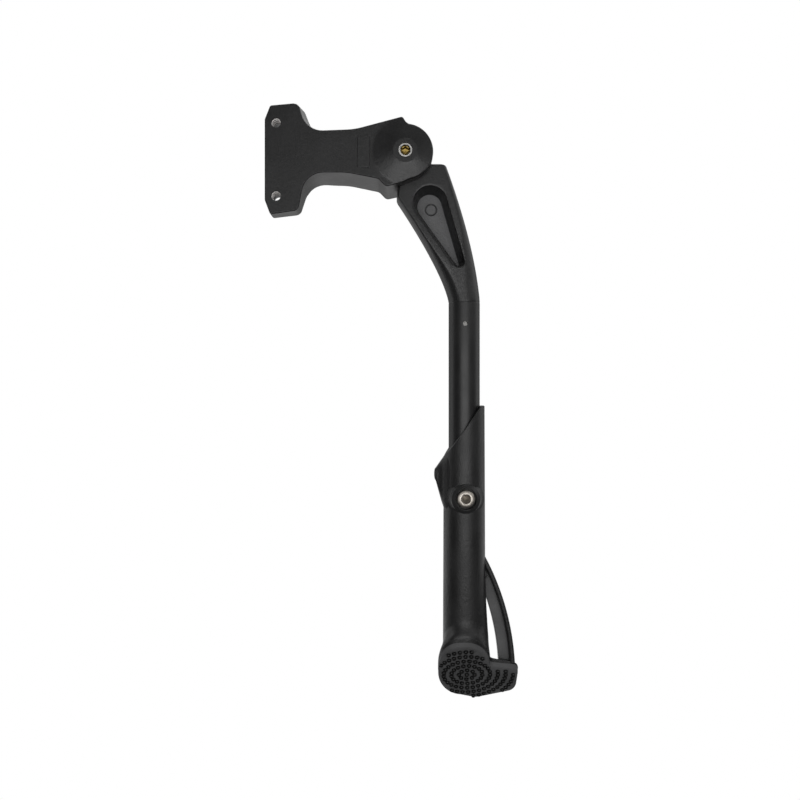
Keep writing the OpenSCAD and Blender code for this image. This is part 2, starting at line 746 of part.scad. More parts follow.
module sleeve() {
    intersection() {
        union() {
            translate([tube_x, mid_y, sleeve_low_z])
                cylinder(h = mouth_top_z - sleeve_low_z, d1 = sleeve_low_d, d2 = sleeve_top_d);
            fin();
        }
        along_y(-far, far)
            polygon([[tube_x - far, -2 * far], [tube_x + far, -2 * far], [tube_x + far, mouth_top_z],
                     [tube_x + (mouth_top_z - clamp_z - mouth_mid_rise) / tan(mouth_slope), mouth_top_z],
                     [tube_x - far, clamp_z + mouth_mid_rise - far * tan(mouth_slope)]]);
    }
}

module lower_leg() {
    screw_at = [tube_x, clamp_z];
    flare_front = boss_face_y + 2.2;
    flare_back = flare_front + 4;
    flare_r = screw_boss_d / 2 + boss_flare;
    color(plastic) difference() {
        union() {
            sleeve();
            translate([tube_x, mid_y, sole_z - 10])
                cylinder(h = sleeve_low_z - sole_z + 10.5, d = sleeve_low_d);
            foot();
            strut();
            rod_y(screw_at, boss_face_y, mid_y, screw_boss_d / 2, screw_boss_d / 2 + 0.4);
            rod_y(screw_at, flare_front, flare_back, screw_boss_d / 2, flare_r);
            rod_y(screw_at, flare_back, mid_y, flare_r, flare_r);
            rod_y(screw_at, mid_y, nut_face_y, screw_boss_d / 2 + 1, screw_boss_d / 2);
        }
        beyond_sole(pad_t);
        translate([tube_x, mid_y, sleeve_bore_end_z])
            cylinder(h = mouth_top_z - sleeve_bore_end_z + 20, r = sleeve_bore_r);
        rod_y(screw_at, boss_face_y - cut, head_seat_y, counterbore_d / 2, counterbore_d / 2);
        rod_y(screw_at, boss_face_y, nut_face_y, screw_d / 2 + 0.1, screw_d / 2 + 0.1);
        hex_y(screw_at, nut_seat_y, nut_face_y + cut, nut_af + 0.1);
        pegs(0.05);
    }
}

// Pegs of the rubber sole in the foot
peg_r = 2;
peg_l = 2;
peg_root = 0.3;
peg_spots = [[0, foot_r * 0.95], [0, foot_r * 2.23], [tread_reach - 6.4, foot_r * 1.85]];
module pegs(clearance) {
    translate([tube_x, sole_y, sole_z]) rotate([-sole_tilt, 0, 0])
        for (at = peg_spots)
            translate([at.x, at.y, pad_t - peg_root])
                cylinder(h = peg_root + peg_l + clearance, r = peg_r + clearance);
}

// Whether a nub at u beside the tube's axis and w behind it lies within the sole's edge
function on_sole(u, w) = norm([u, w]) < foot_r - nub_d * 0.75 ||
    u > 0 && u < tread_reach - nub_d && w > nub_d - tread_front + 0.2 &&
    w < tread_end_w - nub_d - u * tread_taper / foot_r;

module foot_pad() {
    rings = ceil((tread_reach + foot_r) / nub_pitch);
    slope = cos(sole_tilt);
    centre_v = foot_r / slope;
    color(rubber) {
        difference() {
            intersection() {
                foot_column();
                beyond_sole(pad_t);
            }
            beyond_sole(0);
        }
        pegs(0);
        translate([tube_x, sole_y, sole_z]) rotate([-sole_tilt, 0, 0])
            for (k = [0:rings], count = [max(1, round(2 * PI * nub_pitch * k / nub_step))],
                 i = [0:count - 1])
                let (a = 360 * i / count, u = nub_pitch * k * cos(a), v = nub_pitch * k * sin(a))
                if (on_sole(u, v * slope))
                    translate([u, centre_v + v, -nub_h]) cylinder(h = nub_h + 0.2, d = nub_d, $fn = 8);
    }
}

module clamp_screw() {
    screw_at = [tube_x, clamp_z];
    color(steel) difference() {
        union() {
            rod_y(screw_at, head_face_y, head_face_y + 0.5, head_d / 2 - 0.4, head_d / 2);
            rod_y(screw_at, head_face_y + 0.5, head_seat_y, head_d / 2, head_d / 2);
            rod_y(screw_at, head_seat_y - cut, nut_face_y, screw_d / 2, screw_d / 2);
        }
        hex_y(screw_at, head_face_y - cut, head_face_y + 2.5, clamp_socket_af);
    }
}

module clamp_nut() {
    screw_at = [tube_x, clamp_z];
    color(steel) difference() {
        hex_y(screw_at, nut_seat_y, nut_face_y, nut_af);
        rod_y(screw_at, nut_seat_y - cut, nut_face_y + cut, screw_d / 2 + run_fit, screw_d / 2 + run_fit);
    }
}

mount_bracket();
pivot_axle();
axle_screw();
axle_washer();
axle_nut();
bush_front();
bush_rear();
detent_plunger();
detent_spring();
spring_seat();
upper_leg();
leg_tube();
tube_pin();
lower_leg();
clamp_screw();
clamp_nut();
foot_pad();
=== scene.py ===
"""A folding side kickstand for a bicycle, dressed round its packed construction model.

Every shape is worked out in metres in the construction's frame: x along the bracket's arm,
y through its thickness, away from the camera, and z up.
"""

import json
import math

import bmesh
import bpy
import numpy as np
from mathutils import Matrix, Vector


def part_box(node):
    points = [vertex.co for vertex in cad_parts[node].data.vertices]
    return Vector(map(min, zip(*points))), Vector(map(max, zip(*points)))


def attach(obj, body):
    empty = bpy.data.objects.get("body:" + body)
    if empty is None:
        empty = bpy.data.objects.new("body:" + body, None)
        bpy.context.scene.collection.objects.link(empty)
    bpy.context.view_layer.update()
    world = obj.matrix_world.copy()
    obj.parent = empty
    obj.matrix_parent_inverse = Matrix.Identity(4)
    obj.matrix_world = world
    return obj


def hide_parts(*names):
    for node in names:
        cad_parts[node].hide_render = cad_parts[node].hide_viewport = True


bl_info = {
    "name": "Bicycle Kickstand",
    "version": (1, 0, 0),
    "blender": (4, 5, 0),
    "location": "View3D > Sidebar > Kickstand",
    "description": "Finished surfaces for a folding bicycle kickstand",
    "category": "Add Mesh",
}

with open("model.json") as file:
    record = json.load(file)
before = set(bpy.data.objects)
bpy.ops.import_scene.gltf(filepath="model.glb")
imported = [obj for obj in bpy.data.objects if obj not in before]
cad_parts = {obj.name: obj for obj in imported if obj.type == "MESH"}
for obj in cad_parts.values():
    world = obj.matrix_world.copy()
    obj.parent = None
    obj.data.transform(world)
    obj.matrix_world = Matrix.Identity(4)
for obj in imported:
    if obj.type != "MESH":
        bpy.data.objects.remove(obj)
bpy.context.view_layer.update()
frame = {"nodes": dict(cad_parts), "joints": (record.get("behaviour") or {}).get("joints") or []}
MM = 0.001
FAR = 200 * MM


def corners(node):
    """Lowest and highest corner of a construction node."""
    low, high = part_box(node)
    return np.array(low), np.array(high)


# Places that the construction gives
SWING = next(joint for joint in frame["joints"] if joint["name"] == "leg_swing")
PIVOT = np.array(SWING["pos_m"])[[0, 2]]
SWING_LIMIT = SWING["range_deg"][1]
BRACKET_LOW, BRACKET_HIGH = corners("mount_bracket")
LEG_LOW, LEG_HIGH = corners("upper_leg")
TUBE_LOW, TUBE_HIGH = corners("leg_tube")
AXLE_LOW, AXLE_HIGH = corners("pivot_axle")
SET_SCREW_LOW, SET_SCREW_HIGH = corners("axle_screw")
LOCK_NUT_LOW, LOCK_NUT_HIGH = corners("axle_nut")
PIN_LOW, PIN_HIGH = corners("tube_pin")
PLUNGER_LOW, PLUNGER_HIGH = corners("detent_plunger")
SCREW_LOW, SCREW_HIGH = corners("clamp_screw")
NUT_LOW, NUT_HIGH = corners("clamp_nut")

CHEEK_R = BRACKET_HIGH[0] - PIVOT[0]
FORK_T = BRACKET_HIGH[1]
CONE_TOP_Y = BRACKET_LOW[1]
PLATE_EDGE_X = BRACKET_LOW[0]
KNUCKLE_R = LEG_HIGH[2] - PIVOT[1]
SLAB_FRONT = LEG_LOW[1]
SLAB_BACK = LEG_HIGH[1]
MID_Y = (SLAB_FRONT + SLAB_BACK) / 2
TUBE_R = (TUBE_HIGH[0] - TUBE_LOW[0]) / 2
TUBE_X = (TUBE_HIGH[0] + TUBE_LOW[0]) / 2
SEAM_Z = TUBE_HIGH[2]
PIN_AT = np.array([TUBE_X, (PIN_LOW[2] + PIN_HIGH[2]) / 2])
CLAMP_AT = np.array([TUBE_X, (SCREW_LOW[2] + SCREW_HIGH[2]) / 2])
MOUTH_TOP_Z = corners("lower_leg")[1][2]
AXLE_R = (AXLE_HIGH[0] - AXLE_LOW[0]) / 2
PIN_R = (PIN_HIGH[0] - PIN_LOW[0]) / 2
NUT_ACROSS = NUT_HIGH[2] - NUT_LOW[2]

# Sizes that both castings or several pieces share
SHOULDER_DROP = 4.8 * MM
HEEL_DROP = 22.9 * MM
HEEL_ANGLE = 257.5
BORE_FLOOR_Z = TUBE_LOW[2] - 21.5 * MM
HOLE_PITCH = 40 * MM
HOLE_R = 3 * MM
THREAD_MOUTH_R = 2.55 * MM
THREAD_FRONT = 0.4 * MM
TUBE_WALL = 2.9 * MM
FIT = 0.05 * MM
BOLT_PLACES = [np.array([0, side * HOLE_PITCH / 2]) for side in (1, -1)]


# Profiles and outlines


def around(columns):
    """The angles of a full turn in even steps."""
    return np.linspace(0, 2 * math.pi, columns, endpoint=False)


def spread(x, y, z):
    """Points over the grid that x, y and z span together."""
    return np.stack(np.broadcast_arrays(x, y, z), -1)


def quarter_round(radius):
    """Insets r - r sin a and depths r - r cos a of a rounded rim, from its face to its wall."""
    a = np.radians(np.linspace(0, 90, 6))
    return radius * (1 - np.sin(a)), radius * (1 - np.cos(a))


def unit(vectors):
    """Vectors divided by their lengths."""
    return vectors / np.linalg.norm(vectors, axis=-1, keepdims=True)


def blend(start, end, share):
    """The value that lies the given share of the way from start to end."""
    return start + (end - start) * share


def smooth_step(value):
    """3 t^2 - 2 t^3 for t clipped to 0..1, which leaves 0 and reaches 1 without a kink."""
    t = np.clip(value, 0, 1)
    return t * t * (3 - 2 * t)


def smooth_min(a, b, width):
    """The lower of two values, rounded by a parabola where they are closer than width."""
    near = np.maximum(width - np.abs(a - b), 0) / width
    return np.minimum(a, b) - near * near * width / 4


def polar(centre, radius, degrees):
    """The point or points at radius and angle about a centre."""
    a = np.radians(degrees)
    return np.asarray(centre) + np.stack([radius * np.cos(a), radius * np.sin(a)], -1)


def arc(centre, radius, start, end, steps):
    """Points of a circle's arc between two angles in degrees."""
    return polar(centre, radius, np.linspace(start, end, steps + 1))


def fillet(before, corner, after, radius, steps):
    """The arc that touches both edges of a corner; its centre lies on their bisector."""
    u, v = unit(before - corner), unit(after - corner)
    half = math.acos(np.clip(u @ v, -1, 1)) / 2
    centre = corner + unit(u + v) * radius / math.sin(half)
    first = corner + u * radius / math.tan(half) - centre
    last = corner + v * radius / math.tan(half) - centre
    start = math.degrees(math.atan2(first[1], first[0]))
    turn = (math.degrees(math.atan2(last[1], last[0])) - start + 180) % 360 - 180
    return arc(centre, radius, start, start + turn, steps)


def rounded_path(path, steps=8):
    """An open path of (x, z, radius) corners with its inner corners rounded."""
    points = np.array([corner[:2] for corner in path])
    inner = [
        fillet(points[i - 1], points[i], points[i + 1], path[i][2], steps)
        for i in range(1, len(path) - 1)
    ]
    return np.concatenate([points[:1], *inner, points[-1:]])


def resampled(outline, spacing, like=None):
    """A closed outline with points spaced evenly along it, or along a like outline with as many
    points."""
    closed = np.concatenate([outline, outline[:1]])
    guide = closed if like is None else np.concatenate([like, like[:1]])
    length = np.concatenate([[0], np.cumsum(np.linalg.norm(np.diff(guide, axis=0), axis=1))])
    at = np.linspace(0, length[-1], int(length[-1] / spacing), endpoint=False)
    return np.stack([np.interp(at, length, closed[:, k]) for k in (0, 1)], -1)


def inset(outline, distance):
    """A closed anticlockwise outline moved inwards along the bisector of each point's edges."""
    ahead = unit(np.roll(outline, -1, 0) - outline)
    behind = unit(outline - np.roll(outline, 1, 0))
    along = unit(ahead + behind)
    return outline + distance * np.stack([-along[:, 1], along[:, 0]], -1)


def hexagon(across_flats, limit=FAR):
    """A hexagon's polar radius as a function of the angle: half its width over the cosine of the
    angle to the nearest flat, held inside a limit."""
    sixth = math.pi / 3
    return lambda turns: np.minimum(
        across_flats / 2 / np.cos((turns + sixth / 2) % sixth - sixth / 2), limit)


# Meshes

SHARP_ANGLE = math.radians(32)
# Points closer than these are merged, in a new piece and after its cuts
SAME_POINT, SAME_AFTER_CUTS = 0.001 * MM, 0.003 * MM
SHORTEST_EDGE = 0.002 * MM


def ring_quads(rows, columns, joined):
    """Corner numbers of a grid whose columns close into rings. The last row may meet the first."""
    row = np.arange(rows if joined else rows - 1)[:, None]
    column = np.arange(columns)[None, :]
    below, beside = (row + 1) % rows, (column + 1) % columns
    corner = [(row, column), (row, beside), (below, beside), (below, column)]
    return np.stack(np.broadcast_arrays(*[r * columns + c for r, c in corner]), -1).reshape(-1, 4)


def linked(name, data):
    """A new object in the scene."""
    piece = bpy.data.objects.new(name, data)
    bpy.context.scene.collection.objects.link(piece)
    return piece


def new_piece(name, points, faces):
    """A mesh object with its faces outward, whose points that coincide are merged."""
    mesh = bpy.data.meshes.new(name)
    mesh.from_pydata(points.reshape(-1, 3).tolist(), [], faces)
    shell = bmesh.new()
    shell.from_mesh(mesh)
    bmesh.ops.remove_doubles(shell, verts=shell.verts, dist=SAME_POINT)
    bmesh.ops.recalc_face_normals(shell, faces=shell.faces)
    shell.to_mesh(mesh)
    shell.free()
    return linked(name, mesh)


def closed_piece(name, rings, joined=False):
    """A closed mesh over rings of points, an array of rows, columns and x y z. The first and last
    ring are capped, or joined to each other. Rings of radius zero become poles."""
    rows, columns = rings.shape[:2]
    faces = ring_quads(rows, columns, joined).tolist()
    if not joined:
        faces.append(list(range(columns))[::-1])
        faces.append(list(range((rows - 1) * columns, rows * columns)))
    return new_piece(name, rings, faces)


def combine(piece, tool, operation):
    """Joins a closed piece with a tool, or cuts it with the tool, and uses the tool up."""
    before = len(piece.data.vertices)
    modifier = piece.modifiers.new("combine", "BOOLEAN")
    modifier.operation = operation
    modifier.solver = "MANIFOLD"
    modifier.object = tool
    evaluated = piece.evaluated_get(bpy.context.evaluated_depsgraph_get())
    mesh = bpy.data.meshes.new_from_object(evaluated)
    piece.modifiers.remove(modifier)
    if len(mesh.vertices) == before:
        raise RuntimeError(f"{tool.name} left {piece.name} as it was")
    old, piece.data = piece.data, mesh
    bpy.data.meshes.remove(old)
    bpy.data.objects.remove(tool)


def cut(piece, *tools):
    """Takes each tool's space out of a piece."""
    for tool in tools:
        combine(piece, tool, "DIFFERENCE")


def join(piece, *others):
    """Adds other closed meshes to a piece."""
    for other in others:
        combine(piece, other, "UNION")


def prism_rings(outline, levels):
    """Rings of an x-z outline at each (y, inset distance) level."""
    return np.stack([
        np.insert(inset(outline, distance) if distance else outline, 1, y, axis=1)
        for y, distance in levels])


def prism(name, outline, front, back):
    """An x-z outline carried along y."""
    return closed_piece(name, prism_rings(outline, [(front, 0), (back, 0)]))


def lathe(name, at, profile, columns=96, joined=False):
    """A turned piece about an axis along y at (x, z), for a profile of (radius, y) pairs.
    A radius may be a number or a function of the angle."""
    turns = around(columns)
    rings = []
    for radius, y in profile:
        r = radius(turns) if callable(radius) else radius
        rings.append(spread(at[0] + r * np.cos(turns), y, at[1] + r * np.sin(turns)))
    return closed_piece(name, np.stack(rings), joined)


def rod(name, at, front, back, radius, columns=96):
    """A plain round cutter along y."""
    return lathe(name, at, [(radius, front), (radius, back)], columns)


def upright_rings(profile, columns=128):
    """Rings about the leg tube's axis for a profile of (radius, z) pairs."""
    turns = around(columns)
    radius, height = np.array(profile).T[:, :, None]
    return spread(TUBE_X + radius * np.cos(turns), MID_Y + radius * np.sin(turns), height)


def edge_tool(name, outline, radius, height, side):
    """What lies outside a quarter round that follows an outline's rim on a surface
    y = height(x, z). side is 1 where the body lies behind that surface and -1 where it lies in
    front. The section runs along the round and closes outside the body."""
    inward, depth = quarter_round(radius)
    over = radius * 0.6
    inward = np.concatenate([inward, [-over, -over, radius]])
    depth = np.concatenate([depth, [radius, -over, -over]])
    section = np.stack([inset(outline, distance) for distance in inward], 1)
    x, z = section[..., 0], section[..., 1]
    return closed_piece(name, spread(x, height(x, z) + side * depth, z), joined=True)


def back_block(name, xs, zs, height):
    """Everything behind the surface y = height(x, z), over a rectangle of x and z."""
    x, z = np.meshgrid(xs, zs, indexing="ij")
    surface = np.stack([x, height(x, z), z], -1)
    ends = surface[:, [-1, 0]].copy()
    ends[..., 1] = FAR
    return closed_piece(name, np.concatenate([surface, ends], 1))


def finish_piece(piece, material, body, slot, *nodes):
    """Gives a new piece its material and body, hides the construction nodes that it stands for, and
    gives it smooth shading between sharp edges. The slot is not used."""
    shell = bmesh.new()
    shell.from_mesh(piece.data)
    bmesh.ops.remove_doubles(shell, verts=shell.verts, dist=SAME_AFTER_CUTS)
    bmesh.ops.dissolve_degenerate(shell, edges=shell.edges, dist=SHORTEST_EDGE)
    shell.to_mesh(piece.data)
    shell.free()
    piece.data.shade_smooth()
    piece.data.set_sharp_from_angle(angle=SHARP_ANGLE)
    weighted = piece.modifiers.new("weighted_normal", "WEIGHTED_NORMAL")
    weighted.keep_sharp = True
    piece.data.materials.clear()
    piece.data.materials.append(material)
    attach(piece, body)
    if nodes:
        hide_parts(*nodes)


def second_finish(piece, material, choose):
    """Gives a second material to the faces for which choose(centres, normals) is true."""
    mesh = piece.data
    centre = np.empty(3 * len(mesh.polygons), np.float32)
    normal = np.empty_like(centre)
    mesh.polygons.foreach_get("center", centre)
    mesh.polygons.foreach_get("normal", normal)
    chosen = choose(centre.reshape(-1, 3), normal.reshape(-1, 3))
    if not chosen.any():
        raise RuntimeError(f"{piece.name} has no face for its second material")
    mesh.materials.append(material)
    mesh.polygons.foreach_set("material_index", chosen.astype(np.int32))


def floor_at(depth, far_side):
    """Chooses faces that look to the front at about one depth, beyond x = far_side."""
    return lambda centre, normal: (
        (np.abs(centre[:, 1] - depth) < 0.5 * MM) & (normal[:, 1] < -0.5)
        & (centre[:, 0] > far_side))


# Effects that several materials share


def node_group(name, inputs, outputs):
    """An empty shader node group with the named sockets, and its input and output nodes."""
    group = bpy.data.node_groups.new(name, "ShaderNodeTree")
    for label, kind, default in inputs:
        socket = group.interface.new_socket(label, in_out="INPUT", socket_type=kind)
        if default is not None:
            socket.default_value = default
    for label, kind in outputs:
        group.interface.new_socket(label, in_out="OUTPUT", socket_type=kind)
    return group, group.nodes.new("NodeGroupInput"), group.nodes.new("NodeGroupOutput")


def noise(tree, position, scale, detail):
    """A noise texture's value at a position, at a scale in cells a metre."""
    texture = tree.nodes.new("ShaderNodeTexNoise")
    texture.inputs["Detail"].default_value = detail
    texture.inputs["Roughness"].default_value = 0.5
    tree.links.new(position, texture.inputs["Vector"])
    tree.links.new(scale, texture.inputs["Scale"])
    return texture.outputs["Fac"]


def math_node(tree, operation, *values):
    """A math node over sockets or plain numbers."""
    node = tree.nodes.new("ShaderNodeMath")
    node.operation = operation
    for socket, value in zip(node.inputs, values):
        if isinstance(value, (int, float)):
            socket.default_value = value
        else:
            tree.links.new(value, socket)
    return node.outputs[0]


def span(tree, value, low, high, to_low=0.0, to_high=1.0):
    """A value moved from one range to another and held inside it."""
    node = tree.nodes.new("ShaderNodeMapRange")
    limits = {"From Min": low, "From Max": high, "To Min": to_low, "To Max": to_high}
    for label, number in limits.items():
        node.inputs[label].default_value = number
    tree.links.new(value, node.inputs["Value"])
    return node.outputs["Result"]


def surface_grain():
    """Grain of a moulded or coated skin: fine grains and wider waves, each a noise of its own size.
    Height is their weighted sum; Patches is a slow noise that shifts tone and gloss."""
    group, start, end = node_group(
        "Surface Grain",
        [("Position", "NodeSocketVector", None), ("Grains per Metre", "NodeSocketFloat", 2500.0),
         ("Waves per Metre", "NodeSocketFloat", 300.0),
         ("Patches per Metre", "NodeSocketFloat", 60.0), ("Wave Share", "NodeSocketFloat", 0.4)],
        [("Height", "NodeSocketFloat"), ("Patches", "NodeSocketFloat")])
    given = start.outputs
    fine = noise(group, given["Position"], given["Grains per Metre"], 2.0)
    waves = noise(group, given["Position"], given["Waves per Metre"], 1.0)
    patches = noise(group, given["Position"], given["Patches per Metre"], 3.0)
    rest = math_node(group, "SUBTRACT", 1.0, given["Wave Share"])
    height = math_node(group, "ADD", math_node(group, "MULTIPLY", fine, rest),
                       math_node(group, "MULTIPLY", waves, given["Wave Share"]))
    group.links.new(height, end.inputs["Height"])
    group.links.new(span(group, patches, 0.35, 0.65), end.inputs["Patches"])
    return group


def tool_marks():
    """Marks of a lathe or a drawing die: rings whose phase is the distance from an axis, broken up
    by noise. Height is the rings; Streaks is their slow change of tone."""
    group, start, end = node_group(
        "Tool Marks",
        [("Distance", "NodeSocketFloat", 0.0), ("Position", "NodeSocketVector", None),
         ("Rings per Metre", "NodeSocketFloat", 4000.0)],
        [("Height", "NodeSocketFloat"), ("Streaks", "NodeSocketFloat")])
    given = start.outputs
    scattered = noise(group, given["Position"], given["Rings per Metre"], 2.0)
    phase = math_node(group, "MULTIPLY", given["Distance"], given["Rings per Metre"])
    phase = math_node(group, "MULTIPLY", phase, 2 * math.pi)
    wobble = math_node(group, "MULTIPLY", scattered, 2.0)
    rings = math_node(group, "SINE", math_node(group, "ADD", phase, wobble))
    streaks = math_node(group, "SINE", math_node(group, "MULTIPLY", phase, 0.13))
    group.links.new(span(group, rings, -1.0, 1.0), end.inputs["Height"])
    group.links.new(span(group, streaks, -1.0, 1.0), end.inputs["Streaks"])
    return group


def effect_node(tree, build, name, position, **numbers):
    """A node that applies a shared effect, which is built the first time it is asked for."""
    node = tree.nodes.new("ShaderNodeGroup")
    node.node_tree = bpy.data.node_groups.get(name) or build()
    for label, number in numbers.items():
        node.inputs[label.replace("_", " ")].default_value = number
    tree.links.new(position, node.inputs["Position"])
    return node


# Materials

# Black skins: name of the colour setting, roughness, grains and waves a metre, depth of the
# grain and the waves' share of it
SKINS = {
    "casting_paint": ("paint", 0.36, 1500, 400, 0.16 * MM, 0.45),
    "pocket_floor": ("pocket", 0.55, 1200, 400, 0.4 * MM, 0.5),
    # The thread grooves take the paint's black: painted shade in the bare thread's grooves
    "thread_groove": ("paint", 0.6, 1700, 400, 0.02 * MM, 0.4),
    "tube_paint": ("tube_paint", 0.4, 2200, 180, 0.02 * MM, 0.7),
    "moulded_plastic": ("plastic", 0.42, 1400, 500, 0.2 * MM, 0.4),
    "moulded_web": ("web", 0.6, 1300, 350, 0.2 * MM, 0.6),
    "sole_rubber": ("rubber", 0.62, 1800, 400, 0.03 * MM, 0.4),
    "nub_rubber": ("nubs", 0.4, 1800, 400, 0.01 * MM, 0.4),
}

# Metals: name of the colour setting, its tone, roughness, rings a metre and metallic share
METALS = {
    "turned_steel": ("steel", 1, 0.22, 5000, 1),
    "spring_steel": ("steel", 1, 0.3, 4000, 1),
    # The pin's steel at tone 0.35 is painted shade: a darkened copy of the steel for the pin recessed
    # in its hole
    "pin_steel": ("steel", 0.35, 0.35, 5000, 1),
    "bush_bronze": ("bronze", 1, 0.4, 3500, 1),
    "yellow_zinc_plate": ("zinc", 1, 0.3, 3000, 1),
    "screw_stainless": ("stainless", 1, 0.34, 4500, 1),
    "thread_metal": ("thread", 1, 0.4, 3000, 0),
}


def new_material(name, colour, roughness, metallic=0.0):
    """A material with its shader, and the position of each surface point on its object."""
    material = bpy.data.materials.new(name)
    material.use_nodes = True
    tree = material.node_tree
    shader = tree.nodes["Principled BSDF"]
    shader.inputs["Base Color"].default_value = (*colour, 1)
    shader.inputs["Roughness"].default_value = roughness
    shader.inputs["Metallic"].default_value = metallic
    material.diffuse_color = (*colour, 1)
    return material, tree, shader, tree.nodes.new("ShaderNodeTexCoord").outputs["Object"]


def bump(tree, shader, height, strength, distance):
    """Feeds a height to the shader's normal."""
    node = tree.nodes.new("ShaderNodeBump")
    node.inputs["Strength"].default_value = strength
    node.inputs["Distance"].default_value = distance
    tree.links.new(height, node.inputs["Height"])
    tree.links.new(node.outputs["Normal"], shader.inputs["Normal"])


def varied(tree, shader, share, colours, roughnesses):
    """Tone and gloss that follow a share over the surface, each between two values."""
    mix = tree.nodes.new("ShaderNodeMix")
    mix.data_type = "RGBA"
    tree.links.new(share, mix.inputs["Factor"])
    for label, colour in zip("AB", colours):
        socket = next(s for s in mix.inputs if s.name == label and s.type == "RGBA")
        socket.default_value = (*colour, 1)
    result = next(s for s in mix.outputs if s.type == "RGBA")
    tree.links.new(result, shader.inputs["Base Color"])
    tree.links.new(span(tree, share, 0.0, 1.0, *roughnesses), shader.inputs["Roughness"])


def lighter(colour, factor):
    """A colour scaled by a factor."""
    return tuple(channel * factor for channel in colour)


def grained(finish, name):
    """A black skin of the table, coated or moulded: grain in the normal, patches in tone and
    gloss."""
    tint, roughness, grains, waves, depth, wave_share = SKINS[name]
    colour = getattr(finish, tint)
    material, tree, shader, position = new_material(name, colour, roughness)
    grain = effect_node(tree, surface_grain, "Surface Grain", position,
                        Grains_per_Metre=grains, Waves_per_Metre=waves, Wave_Share=wave_share)
    varied(tree, shader, grain.outputs["Patches"], (lighter(colour, 0.85), lighter(colour, 1.2)),
           (roughness - 0.03, roughness + 0.04))
    bump(tree, shader, grain.outputs["Height"], 1.0, depth)
    return material


def turned(finish, name, at):
    """Metal of the table, turned about an axis along y at (x, z): fine rings round that axis."""
    tint, tone, roughness, rings, metallic = METALS[name]
    colour = lighter(getattr(finish, tint), tone)
    material, tree, shader, position = new_material(name, colour, roughness, metallic)
    centred = tree.nodes.new("ShaderNodeMapping")
    centred.inputs["Location"].default_value = (-at[0], 0, -at[1])
    centred.inputs["Scale"].default_value = (1, 0, 1)
    tree.links.new(position, centred.inputs["Vector"])
    distance = tree.nodes.new("ShaderNodeVectorMath")
    distance.operation = "LENGTH"
    tree.links.new(centred.outputs["Vector"], distance.inputs[0])
    marks = effect_node(tree, tool_marks, "Tool Marks", position, Rings_per_Metre=rings)
    tree.links.new(distance.outputs["Value"], marks.inputs["Distance"])
    varied(tree, shader, marks.outputs["Streaks"], (lighter(colour, 0.8), colour),
           (roughness, roughness + 0.08))
    bump(tree, shader, marks.outputs["Height"], 0.35, 0.02 * MM)
    return material


def casting_paint(finish):
    """Satin black powder coat, which both castings share."""
    return bpy.data.materials.get("casting_paint") or grained(finish, "casting_paint")


# Sizes and colours that a user may change


def length(name, description, default):
    """A length property in metres."""
    return bpy.props.FloatProperty(
        name=name, description=description, default=default, min=0.0, unit="LENGTH", precision=4)


def colour(name, description, default):
    """A colour property."""
    return bpy.props.FloatVectorProperty(
        name=name, description=description, default=default, size=3, min=0.0, max=1.0,
        subtype="COLOR")


class KickstandCasting(bpy.types.PropertyGroup):
    """Sizes of the two castings that only the looks need"""
    edge: length("Cast Edge", "Radius of the castings' outer edges", 0.7 * MM)
    panel_width: length("Panel Width", "Width of the plain raised panel on the arm", 7.1 * MM)
    panel_height: length("Panel Height", "Height of the plain raised panel on the arm", 18 * MM)
    panel_rise: length("Panel Rise", "How far the panel stands above the arm", 0.55 * MM)
    lip: length("Pocket Lip", "Radius of the rounded lip round the leg's pocket", 0.6 * MM)
    thread_pitch: length(
        "Thread Pitch", "Distance between the thread flights in the bolt holes", 2.6 * MM)


class KickstandAdjuster(bpy.types.PropertyGroup):
    """Sizes of the moulded lower leg that only the looks need"""
    rim: length("Mouth Rim", "Radius of the sleeve's rounded mouth edge", 0.7 * MM)
    flare: length("Foot Flare", "Height of the curved flare above the foot's rim", 7.5 * MM)
    bead: length("Strut Bead", "Width of the bead along the strut's outer edge", 2.8 * MM)


class KickstandFinish(bpy.types.PropertyGroup):
    """Colours of the kickstand's finishes"""
    # The paint colour also darkens the bolt threads' grooves, as painted shade
    paint: colour("Paint", "Satin black coat on the castings", (0.008, 0.008, 0.0083))
    pocket: colour("Pocket Floor", "Rougher, greyer floor of the leg's pocket", (0.105, 0.105, 0.107))
    tube_paint: colour("Tube Paint", "Satin black coat on the leg tube", (0.008, 0.008, 0.0083))
    plastic: colour("Plastic", "Moulded plastic of the lower leg", (0.009, 0.009, 0.0093))
    web: colour("Web", "Duller skin on the strut's web", (0.07, 0.07, 0.071))
    rubber: colour("Rubber", "Rubber of the sole", (0.05, 0.05, 0.051))
    nubs: colour("Nubs", "Smooth tips of the sole's nubs", (0.004, 0.004, 0.004))
    steel: colour("Steel", "Bright turned steel", (0.62, 0.61, 0.59))
    thread: colour("Bare Thread", "Freshly cut metal of the bolt threads", (1.0, 0.97, 0.95))
    stainless: colour("Stainless", "Stainless steel of the clamp screw", (0.5, 0.465, 0.42))
    zinc: colour("Yellow Zinc", "Zinc plate on the set screw", (0.22, 0.155, 0.045))
    bronze: colour("Bronze", "Sintered bronze of the bushes", (0.42, 0.25, 0.12))


class KickstandStage(bpy.types.PropertyGroup):
    """Camera, floor and light"""
    camera_x: length("Camera X", "Camera's place along the arm", 67.9 * MM)
    camera_distance: length(
        "Camera Distance", "Camera's distance in front of the mounting face", 450 * MM)
    camera_drop: length("Camera Drop", "Camera's place below the bolt holes' middle", 131.8 * MM)
    view_width: length("View Width", "Width that the camera sees at the mounting face", 438.08 * MM)
    floor_drop: length("Floor Drop", "Floor's place below the bolt holes' middle", 450 * MM)


# The bracket casting

